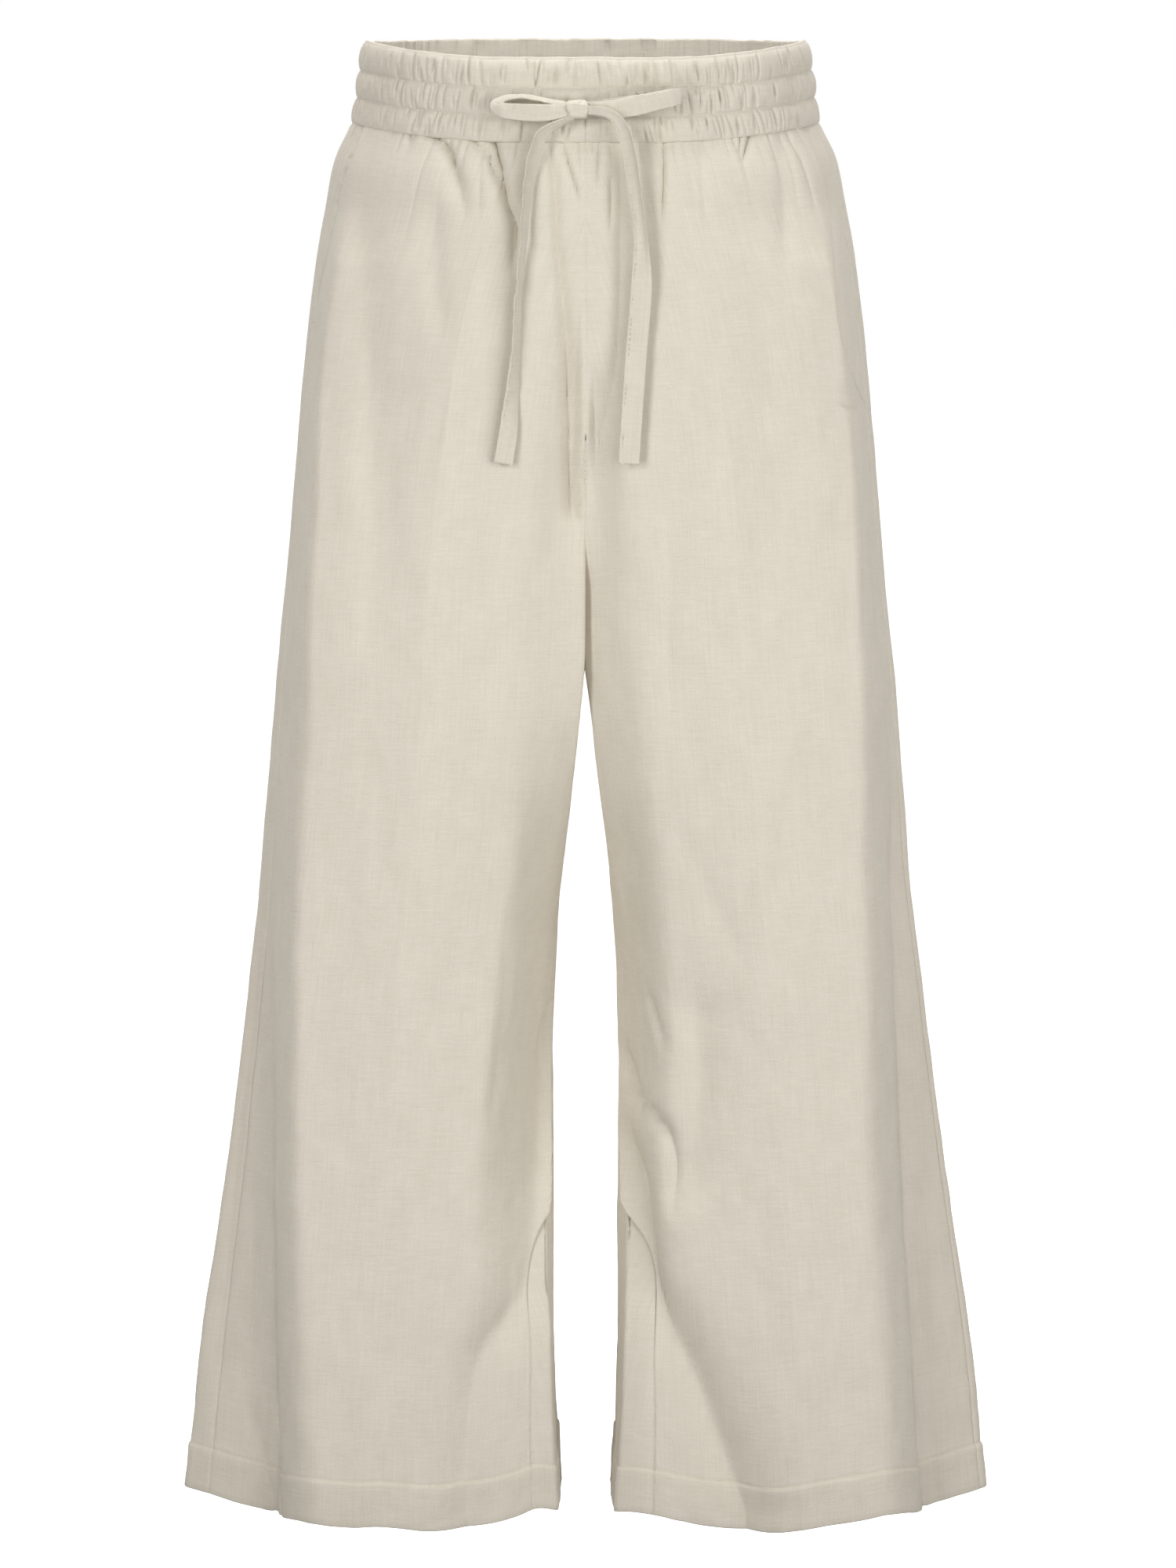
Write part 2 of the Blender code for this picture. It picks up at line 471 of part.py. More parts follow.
def lay_columns(half, face, share, kept, edge, inner, outer, first, last):
    """Turn and drop of a panel's points. share is 0 at the panel's inner edge and 1 at its side. The columns up to
    kept are for the cloth pressed between the thighs: they end at the corner where it comes out, or close to the
    seam where there is none. inner and outer are the drops of each row at those two edges, and first and last are
    the girths of the panel's edges, for each of DROPS."""
    begins = FRONT_CURVE if face == "front" else BACK_CURVE
    near = edge / 23
    way = np.where(share < kept, share / kept * near, near + (share - kept) / (1 - kept) * (1 - near))
    towards = 1 - (1 - way) ** 2
    drop = inner[:, None] * (1 - towards) + outer[:, None] * towards
    corner = girth(half, 1 / 3 if face == "front" else 4 - 1 / 3, DROPS)
    reach = corner - first if face == "front" else last - corner
    reach = np.maximum(np.clip(reach, 0, None) + edge * (1 - ease(DROPS, begins + 1, CROTCH)), edge)
    narrow = np.flatnonzero(share == COLUMN_SHARES[1])
    pressed = np.flatnonzero(share == COLUMN_SHARES[2])
    turn = np.empty_like(drop)
    for j, at in enumerate(share):
        if j in narrow:
            far = np.full(len(DROPS), STRIP)
        elif j in pressed:
            # On the inner leg of a back, the corner to the front is kept too.
            past = last - girth(half, 4 + 1 / 3, DROPS) if face == "back" else np.zeros(len(DROPS))
            far = np.where((DROPS > CROTCH) & (past > 2 * STRIP), past, 0.45 * reach)
        elif at < kept:
            far = reach * at / kept
        else:
            far = reach + (last - first - reach) * (at - kept) / (1 - kept)
            far = np.minimum(far, last - first - STRIP) if at < 1 else far
        wanted = first + far if face == "front" else last - far
        found = np.array([np.interp(w, g, TURNS) for w, g in zip(wanted, GIRTHS[half], strict=True)])
        turn[:, j] = np.interp(drop[:, j], DROPS, found)
    return turn, drop


def lower_rows(count):
    """Drops of the rows from the crotch to the hem, with some close to the hem's stitched line."""
    line = HEM_DROP - HEM_TURN
    beside = line + np.array([-0.34, -0.18, -0.08, 0.0, 0.08, 0.18, 0.34])
    below = max(round(count * 0.045), 3)
    above = count - below - len(beside)
    return np.concatenate(
        [np.linspace(CROTCH, beside[0], above + 1)[1:-1], beside, np.linspace(beside[-1], HEM_DROP, below + 2)[1:]]
    )


def panel(half, face):
    """Turn and drop of each point of a front or a back, row by row from the waist seam to the hem."""
    outer = np.concatenate(
        [
            np.linspace(WAIST_SEAM + SEAM, CROTCH, CROTCH_ROW + 1),
            np.linspace(CROTCH, HEM_DROP, PANEL_ROWS - CROTCH_ROW + 1)[1:],
        ]
    )
    begins, depth = (FRONT_CURVE, 9.6) if face == "front" else (BACK_CURVE, 11.5)
    inner = outer.copy()
    inner[: CROTCH_ROW + 1] = curve_drops(begins, depth, CROTCH_ROW)
    share = np.array(COLUMN_SHARES if face == "front" else COLUMN_SHARES[::-1])
    if face == "front":
        first = girth(half, seam_turn(half, "in", DROPS), DROPS) + SEAM
        last = pocket_edge(half, DROPS)[0] - SEAM
    else:
        first = girth(half, seam_turn(half, "side", DROPS), DROPS) + SEAM
        last = girth(half, np.where(DROPS >= CROTCH, 4 + seam_turn(half, "in", DROPS), 4.0), DROPS) - SEAM
    return lay_columns(half, face, share, COLUMN_SHARES[3], 2.4, inner, outer, first, last)


def mesh_object(name, points, faces, colour):
    mesh = bpy.data.meshes.new(name)
    mesh.from_pydata([tuple(p) for p in points], [], faces)
    mesh.validate()
    for face in mesh.polygons:
        face.use_smooth = True
    made = bpy.data.objects.new(name, mesh)
    parts.objects.link(made)
    mesh.materials.append(finish(name, colour))
    return made


def finish(name, colour):
    material = bpy.data.materials.new(name)
    material.use_nodes = True
    shader = material.node_tree.nodes["Principled BSDF"]
    shader.inputs["Base Color"].default_value = (*colour, 1)
    shader.inputs["Roughness"].default_value = 0.9
    shader.inputs["Metallic"].default_value = 0.0
    return material


def grid_faces(rows, columns, ring=False, turned=False):
    """The quads of a grid of points, joined end to end if it is a ring."""
    found = []
    across = columns if ring else columns + 1
    for i in range(rows):
        for j in range(columns):
            a, b = i * across + j, i * across + (j + 1) % across
            quad = (a, a + across, b + across, b)
            found.append(quad[::-1] if turned else quad)
    return found


def thicken(made, thickness, offset=-1.0, thin=None):
    """Gives a sheet its wall. thin lists points that keep half the thickness."""
    wall = made.modifiers.new("wall", "SOLIDIFY")
    wall.thickness = thickness
    wall.offset = offset
    wall.use_rim = True
    if thin is not None:
        group = made.vertex_groups.new(name="layers")
        group.add([int(i) for i in thin], 1.0, "REPLACE")
        wall.vertex_group = group.name
        wall.invert_vertex_group = True
        wall.thickness_vertex_group = 0.5
    return wall


def build_panel(half, face):
    turn, drop = panel(half, face)
    places = cloth(half, turn, drop)
    made = mesh_object(
        f"{face}_{half}",
        places.reshape(-1, 3),
        grid_faces(PANEL_ROWS, len(COLUMN_SHARES) - 1, turned=half == "left"),
        LINEN,
    )
    thin = np.flatnonzero(drop.ravel() < HEM_DROP - HEM_TURN)
    thicken(made, HEM, thin=thin)


def build_facing(half, columns=4, rows=10):
    """The strip of cloth that shows behind the pocket's edge, sewn in at the side seam."""
    end = POCKET_END[half] + 0.6
    drops = np.linspace(WAIST_SEAM + SEAM, end, rows + 1)
    edge, seam = pocket_edge(half, drops)
    places = []
    for d, e, s in zip(drops, edge, seam, strict=True):
        first, last = e - UNDERLAP, s - SEAM - 0.03
        at = np.linspace(first, last, columns + 1)
        at[1] = min(e + 0.05, last - 0.6)
        at[2:] = np.linspace(at[1], last, columns)[1:]
        i = int(np.clip(np.searchsorted(DROPS, d), 0, len(DROPS) - 1))
        turns = np.interp(at, GIRTHS[half][i], TURNS)
        down = -TUCK * (1 - ease(at, e + 0.2, e + 1.0))
        places.append(cloth(half, turns, np.full(columns + 1, d), out=down))
    made = mesh_object(
        f"pocket_facing_{half}",
        np.concatenate(places),
        grid_faces(rows, columns, turned=half == "left"),
        LINEN,
    )
    thicken(made, CLOTH)


def band_stations(count):
    """(half, turn) round the whole waist from the centre front, evenly along the cloth."""
    half_count = count // 2
    at = np.linspace(0, float(girth("right", 4.0, 0.0)), half_count + 1)
    i = int(np.searchsorted(DROPS, 0.0))
    turns = np.interp(at, GIRTHS["right"][i], TURNS)
    return [("right", t) for t in turns[:-1]] + [("left", t) for t in turns[:0:-1]]


def channel_puff(share):
    """How far the band stands out, in cm: three soft rolls with a stitched line between each two."""
    edges = (0.0, *CHANNELS, 1.0)
    for low, high in zip(edges[:-1], edges[1:], strict=True):
        if share <= high:
            t = (share - low) / (high - low)
            return 0.26 * math.sin(math.pi * t) ** 0.8 if 0 < t < 1 else 0.0
    return 0.0


def build_waistband():
    heights = []
    edges = (0.0, *CHANNELS, 1.0)
    for low, high in zip(edges[:-1], edges[1:], strict=True):
        heights += [low + (high - low) * t for t in (0.0, 0.27, 0.73)]
    heights.append(1.0)
    stations = band_stations(BAND_STATIONS)
    places = []
    for share in heights:
        drop = WAIST_TOP + (WAIST_SEAM - SEAM - WAIST_TOP) * share
        for half, turn in stations:
            point = cloth(half, turn, drop, out=channel_puff(share) + 0.06)
            if turn in (0.0, 4.0) or abs(turn) < 1e-9 or abs(turn - 4) < 1e-6:
                point = point * np.array([0.0, 1.0, 1.0])
            places.append(point)
    made = mesh_object(
        "waistband",
        np.array(places),
        grid_faces(len(heights) - 1, BAND_STATIONS, ring=True),
        LINEN,
    )
    thicken(made, BAND)


def ribbon(name, route, count):
    """A flat strip along a route, turned about its own line by the table's twist."""
    middle = np.stack([route["x"], route["y"], route["z"]], axis=-1)
    steps = np.linalg.norm(np.diff(middle, axis=0), axis=1)
    columns = {**route, "way": np.concatenate([[0], np.cumsum(steps)])}
    at = np.linspace(0, columns["way"][-1], count)
    line = np.stack([along(columns, axis, at, "way") for axis in "xyz"], axis=-1)
    width, twist = along(columns, "width", at, "way"), np.radians(along(columns, "twist", at, "way"))
    heading = np.gradient(line, axis=0)
    heading /= np.linalg.norm(heading, axis=1)[:, None]
    outwards = np.tile((0.0, -1.0, 0.0), (count, 1))
    across = np.cross(heading, outwards)
    # Where a loop turns straight back, the strip stands upright and keeps the side it had.
    for i in range(count):
        size = np.linalg.norm(across[i])
        across[i] = across[i] / size if size > 0.35 else across[i - 1]
        if i and np.dot(across[i], across[i - 1]) < 0:
            across[i] = -across[i]
    across -= heading * np.sum(across * heading, axis=1)[:, None]
    across /= np.linalg.norm(across, axis=1)[:, None]
    normal = np.cross(across, heading)
    spread = across * np.cos(twist)[:, None] + normal * np.sin(twist)[:, None]
    places = [line + spread * (width * share)[:, None] for share in (-0.5, 0.0, 0.5)]
    places = np.stack(places, axis=1).reshape(-1, 3) * CM
    made = mesh_object(name, places, grid_faces(count - 1, 2), LINEN)
    thicken(made, RIBBON, offset=0.0)


def build_knot():
    bpy.ops.mesh.primitive_cube_add(size=1, location=[v * CM for v in KNOT["centre"]])
    knot = bpy.context.object
    knot.name = "drawstring_knot"
    knot.data.name = knot.name
    for vertex in knot.data.vertices:
        vertex.co = [c * s * CM for c, s in zip(vertex.co, KNOT["size"], strict=True)]
    for collection in list(knot.users_collection):
        collection.objects.unlink(knot)
    parts.objects.link(knot)
    knot.data.materials.append(finish(knot.name, LINEN))
    rounding = knot.modifiers.new("rounding", "BEVEL")
    rounding.width = 0.0028
    rounding.segments = 3


for old in list(bpy.data.objects):
    bpy.data.objects.remove(old)
parts = bpy.data.collections.new("wide_leg_drawstring_trousers")
bpy.context.scene.collection.children.link(parts)

for half in ("left", "right"):
    for face in ("front", "back"):
        build_panel(half, face)
    build_facing(half)
build_waistband()
build_knot()
ribbon("drawstring_loop_left", LOOP_LEFT, 18)
ribbon("drawstring_loop_right", LOOP_RIGHT, 18)
ribbon("drawstring_tail_left", TAIL_LEFT, 16)
ribbon("drawstring_tail_right", TAIL_RIGHT, 18)
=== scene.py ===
"""The looks of the wide-leg drawstring trousers: linen shells on the CAD solids' form, with their folds, gathers,
seams, stitches and weave.

Tables are in centimetres, like the part's own: drop is the distance down the side seam below the waist, and turn goes
round one half of the garment, 0 at the centre front (or the inner leg), 1 at the middle of the front, 2 at the outer
side, 3 at the middle of the back and 4 at the centre back (or the inner leg again)."""

import math

import bpy
import numpy as np
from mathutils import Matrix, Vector


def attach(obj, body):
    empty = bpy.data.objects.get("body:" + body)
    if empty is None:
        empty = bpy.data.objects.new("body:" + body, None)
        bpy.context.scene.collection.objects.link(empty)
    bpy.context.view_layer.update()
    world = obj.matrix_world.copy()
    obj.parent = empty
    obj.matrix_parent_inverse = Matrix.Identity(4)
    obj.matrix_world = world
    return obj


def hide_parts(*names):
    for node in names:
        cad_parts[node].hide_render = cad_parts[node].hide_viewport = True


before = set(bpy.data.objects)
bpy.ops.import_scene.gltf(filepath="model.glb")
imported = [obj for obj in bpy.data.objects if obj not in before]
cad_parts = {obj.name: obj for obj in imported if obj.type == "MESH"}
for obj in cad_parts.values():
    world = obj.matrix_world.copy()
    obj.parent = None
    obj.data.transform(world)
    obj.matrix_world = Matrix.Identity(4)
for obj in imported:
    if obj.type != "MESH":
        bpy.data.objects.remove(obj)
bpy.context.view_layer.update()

CM = 0.01
CLOTH = 0.0011
HEM = 0.0024
WAIST_TOP, WAIST_SEAM, HEM_DROP = -2.0, 3.12, 93.4
CHANNELS = (0.344, 0.686)
FRONT_DIP, BACK_RISE = 1.5, 0.55
CROTCH, FRONT_CURVE, BACK_CURVE = 29.0, 23.0, 18.0
HEM_TURN = 3.0
FIN_FLAT = 0.78


def table(names, *rows):
    """A table as a dictionary of columns."""
    return dict(zip(names.split(), np.array(rows, float).T, strict=True))


FORM = table(
    "drop side inner front back apex square front_round back_round",
    (-2.6, 14.10, 0.03, 9.30, 9.20, 4.2, 2.05, 0.10, 0.10),
    (0.0, 14.50, 0.03, 9.50, 9.40, 4.3, 2.05, 0.10, 0.10),
    (3.1, 15.00, 0.03, 9.80, 9.75, 4.6, 2.10, 0.10, 0.12),
    (5.3, 16.05, 0.03, 10.20, 10.30, 5.2, 2.15, 0.10, 0.15),
    (8.3, 16.72, 0.03, 10.50, 11.00, 6.0, 2.20, 0.10, 0.20),
    (11.4, 17.30, 0.03, 10.70, 11.60, 6.8, 2.25, 0.12, 0.30),
    (14.4, 17.72, 0.03, 10.85, 12.10, 7.5, 2.30, 0.20, 0.50),
    (20.5, 18.38, 0.03, 10.90, 12.50, 8.5, 2.30, 0.75, 1.60),
    (26.6, 18.95, 0.03, 10.75, 12.20, 9.3, 2.30, 1.55, 3.00),
    (32.8, 19.50, 0.03, 10.35, 11.40, 9.8, 2.30, 2.90, 4.20),
    (38.0, 20.05, 0.14, 10.00, 10.80, 10.1, 2.30, 3.30, 5.20),
    (41.0, 20.30, 0.45, 9.85, 10.60, 10.3, 2.35, 3.60, 6.00),
    (45.2, 20.70, 0.88, 9.60, 10.20, 10.7, 2.40, 4.30, 7.00),
    (51.4, 21.30, 1.63, 9.20, 9.70, 11.3, 2.45, 6.20, 7.60),
    (57.7, 22.03, 2.11, 8.90, 9.40, 12.0, 2.50, 7.60, 8.20),
    (64.0, 22.80, 2.26, 8.60, 9.10, 12.5, 2.55, 7.20, 7.80),
    (70.3, 23.56, 2.19, 8.45, 8.90, 12.9, 2.55, 5.80, 6.60),
    (76.6, 24.50, 2.20, 8.40, 8.70, 13.4, 2.50, 3.40, 4.60),
    (83.0, 25.50, 2.26, 8.36, 8.55, 13.8, 2.45, 2.10, 3.20),
    (89.4, 26.20, 2.07, 8.20, 8.35, 14.1, 2.40, 1.70, 2.60),
    (94.0, 26.70, 1.86, 7.90, 8.10, 14.2, 2.40, 1.60, 2.40),
)

# Lower down, the front and back of each leg fall flat and turn at a soft corner towards the side seam and the
# inseam. facet is how far the section is from an ellipse; outer and inner are the corners' distances from the centre,
# soft is how gently each leg turns there, and fin is where the front and back close in on the side seam.
CORNERS = table(
    "drop facet outer_left outer_right inner_left inner_right soft_left soft_right fin_left fin_right",
    (-2.6, 0.00, 14.0, 14.0, 2.5, 2.5, 0.10, 0.14, 14.0, 14.0),
    (5.0, 0.25, 15.2, 15.2, 2.5, 2.5, 0.10, 0.14, 15.4, 15.4),
    (12.0, 0.74, 16.6, 16.6, 2.5, 2.5, 0.10, 0.14, 17.0, 17.0),
    (20.0, 0.84, 17.6, 17.6, 2.7, 2.5, 0.11, 0.14, 18.1, 18.0),
    (29.0, 0.87, 18.3, 18.2, 3.7, 3.0, 0.17, 0.14, 18.9, 18.7),
    (36.0, 0.88, 18.8, 18.5, 4.5, 3.4, 0.19, 0.14, 19.5, 19.1),
    (43.0, 0.88, 18.9, 18.6, 5.0, 4.2, 0.18, 0.14, 19.9, 19.5),
    (50.0, 0.88, 18.9, 18.6, 5.0, 4.9, 0.12, 0.14, 20.4, 19.9),
    (57.0, 0.88, 18.9, 18.7, 5.5, 5.2, 0.10, 0.14, 20.9, 20.3),
    (64.0, 0.92, 18.9, 18.8, 6.4, 5.5, 0.09, 0.14, 21.3, 20.6),
    (70.0, 0.92, 18.9, 19.0, 7.1, 5.3, 0.09, 0.15, 21.5, 20.9),
    (76.0, 0.92, 18.8, 19.4, 7.5, 4.7, 0.09, 0.17, 21.7, 21.3),
    (83.0, 0.92, 18.6, 20.1, 7.4, 4.3, 0.11, 0.18, 21.8, 22.1),
    (94.0, 0.92, 18.2, 20.8, 7.0, 4.0, 0.14, 0.18, 21.2, 23.0),
)

# How much lower than at its side seam the hem hangs, by the place across the leg from the inseam to the side seam.
HEM_SAG = table(
    "share left right",
    (-1.00, -0.10, 0.00),
    (-0.90, -0.30, -0.10),
    (-0.78, 0.20, 0.05),
    (-0.66, 0.58, 0.44),
    (-0.54, 0.80, 0.84),
    (-0.30, 0.86, 1.28),
    (-0.18, 0.66, 1.28),
    (-0.06, 0.52, 1.00),
    (0.06, 0.60, 0.68),
    (0.18, 0.56, 0.45),
    (0.28, 0.48, 0.30),
    (0.36, 0.50, 0.12),
    (0.42, 0.62, -0.02),
    (0.48, 0.88, 0.00),
    (0.54, 0.98, 0.12),
    (0.60, 0.82, 0.38),
    (0.66, 0.66, 0.60),
    (0.74, 0.50, 0.46),
    (0.86, 0.20, 0.20),
    (1.00, 0.00, 0.00),
)

SEAMS = table(
    "drop side_left side_right in_left in_right",
    (-2.6, 74, 74, 0, 0),
    (29.0, 74, 75, 0, 0),
    (40.0, 72, 76, 1, 1),
    (51.0, 69, 76, 4, 6),
    (66.0, 65, 76, 17, 18),
    (70.8, 64, 76, 24, 25),
    (75.4, 63, 76, 32.5, 33),
    (84.0, 61, 75, 34.5, 37),
    (94.0, 60, 75, 35.5, 38.5),
)

POCKETS = table(
    "drop left right",
    (2.0, 13.75, 13.70),
    (3.5, 14.20, 14.10),
    (6.7, 15.35, 15.15),
    (9.9, 16.05, 15.55),
    (13.0, 16.80, 15.75),
    (16.0, 17.55, 16.05),
    (19.0, 18.20, 16.75),
    (21.5, 18.60, 17.90),
    (24.0, 18.90, 18.80),
)
POCKET_END = {"left": 15.4, "right": 21.0}

# Folds: half, face, the line as (distance from the centre, drop), height (a trough is negative), the widths towards
# the centre and towards the side, how sharp (2 is a soft roll, 1 a crease), and how far each end takes to fade. A
# pair gives the value at the top and at the bottom of the line.
BIG_FOLDS = (
    # The outer sides of the lower legs.
    ("left", "front", ((21.1, 50), (21.7, 57.2), (22.1, 62.8), (22.8, 67.6), (23.2, 71.4), (23.8, 77.6), (24.3, 82.5), (24.6, 87)), (-0.30, -0.25), 1.6, 0.6, 1.3, 9, 5),
    ("left", "front", ((20.6, 54), (20.8, 68), (20.9, 80), (20.9, 92)), (-0.15, -0.8), 1.2, 1.3, 2.0, 9, 0),
    ("right", "front", ((20.0, 47), (20.6, 60), (21.0, 67.8), (21.3, 75.1), (21.8, 82.4), (22.5, 92)), (-0.45, -0.55), 0.9, 1.6, 1.6, 9, 0),
    # The insides of the lower legs.
    ("left", "front", ((2.4, 60), (2.8, 71.0), (3.2, 76.6), (3.9, 79.0), (5.2, 80.6), (6.3, 81.8), (7.1, 83.6), (7.6, 86), (7.8, 93)), (-0.55, -1.05), (0.9, 4.0), (2.4, 1.5), 1.4, 7, 0),
    ("right", "front", ((2.9, 69.0), (3.3, 75.0), (3.8, 77.4), (5.4, 80.7), (6.8, 83.2), (8.1, 86.1), (9.1, 88.6), (10.4, 92)), (-1.6, -2.2), (1.2, 4.6), (1.4, 2.4), 1.25, 5, 0),
    # Soft troughs down the thighs.
    ("left", "front", ((14.3, 7), (14.1, 12.2), (13.6, 20), (13.2, 27.5), (12.9, 36)), -0.28, 1.8, 1.2, 2.0, 6, 9),
    ("left", "front", ((1.4, 15), (1.3, 20), (1.4, 25), (1.6, 30)), -0.55, 1.3, 1.8, 2.0, 6, 6),
    ("right", "front", ((0.6, 18), (0.6, 24), (0.9, 30)), -0.45, 1.2, 1.3, 2.0, 6, 6),
    # Down the backs.
    ("left", "back", ((6.0, 24), (7.5, 36), (8.0, 50)), -0.50, 2.2, 2.2, 2.0, 9, 7),
    ("right", "back", ((5.6, 25), (7.2, 38), (8.4, 54)), -0.55, 2.4, 2.0, 2.0, 9, 7),
    ("left", "back", ((19.4, 52), (20.2, 64), (20.8, 76), (21.4, 92)), -1.0, 1.2, 2.2, 1.6, 9, 0),
    ("right", "back", ((20.8, 50), (21.8, 64), (22.6, 76), (23.2, 88)), -1.0, 2.3, 0.9, 1.5, 9, 5),
    ("left", "back", ((3.4, 68), (4.6, 76), (7.4, 82), (10.2, 92)), (-1.1, -1.8), (2.2, 4.6), (1.8, 3.0), 1.4, 7, 0),
    ("right", "back", ((2.8, 64), (3.4, 74), (5.2, 80), (7.2, 85), (7.9, 92)), (-1.0, -1.6), (1.8, 4.2), (2.8, 1.8), 1.5, 7, 0),
)

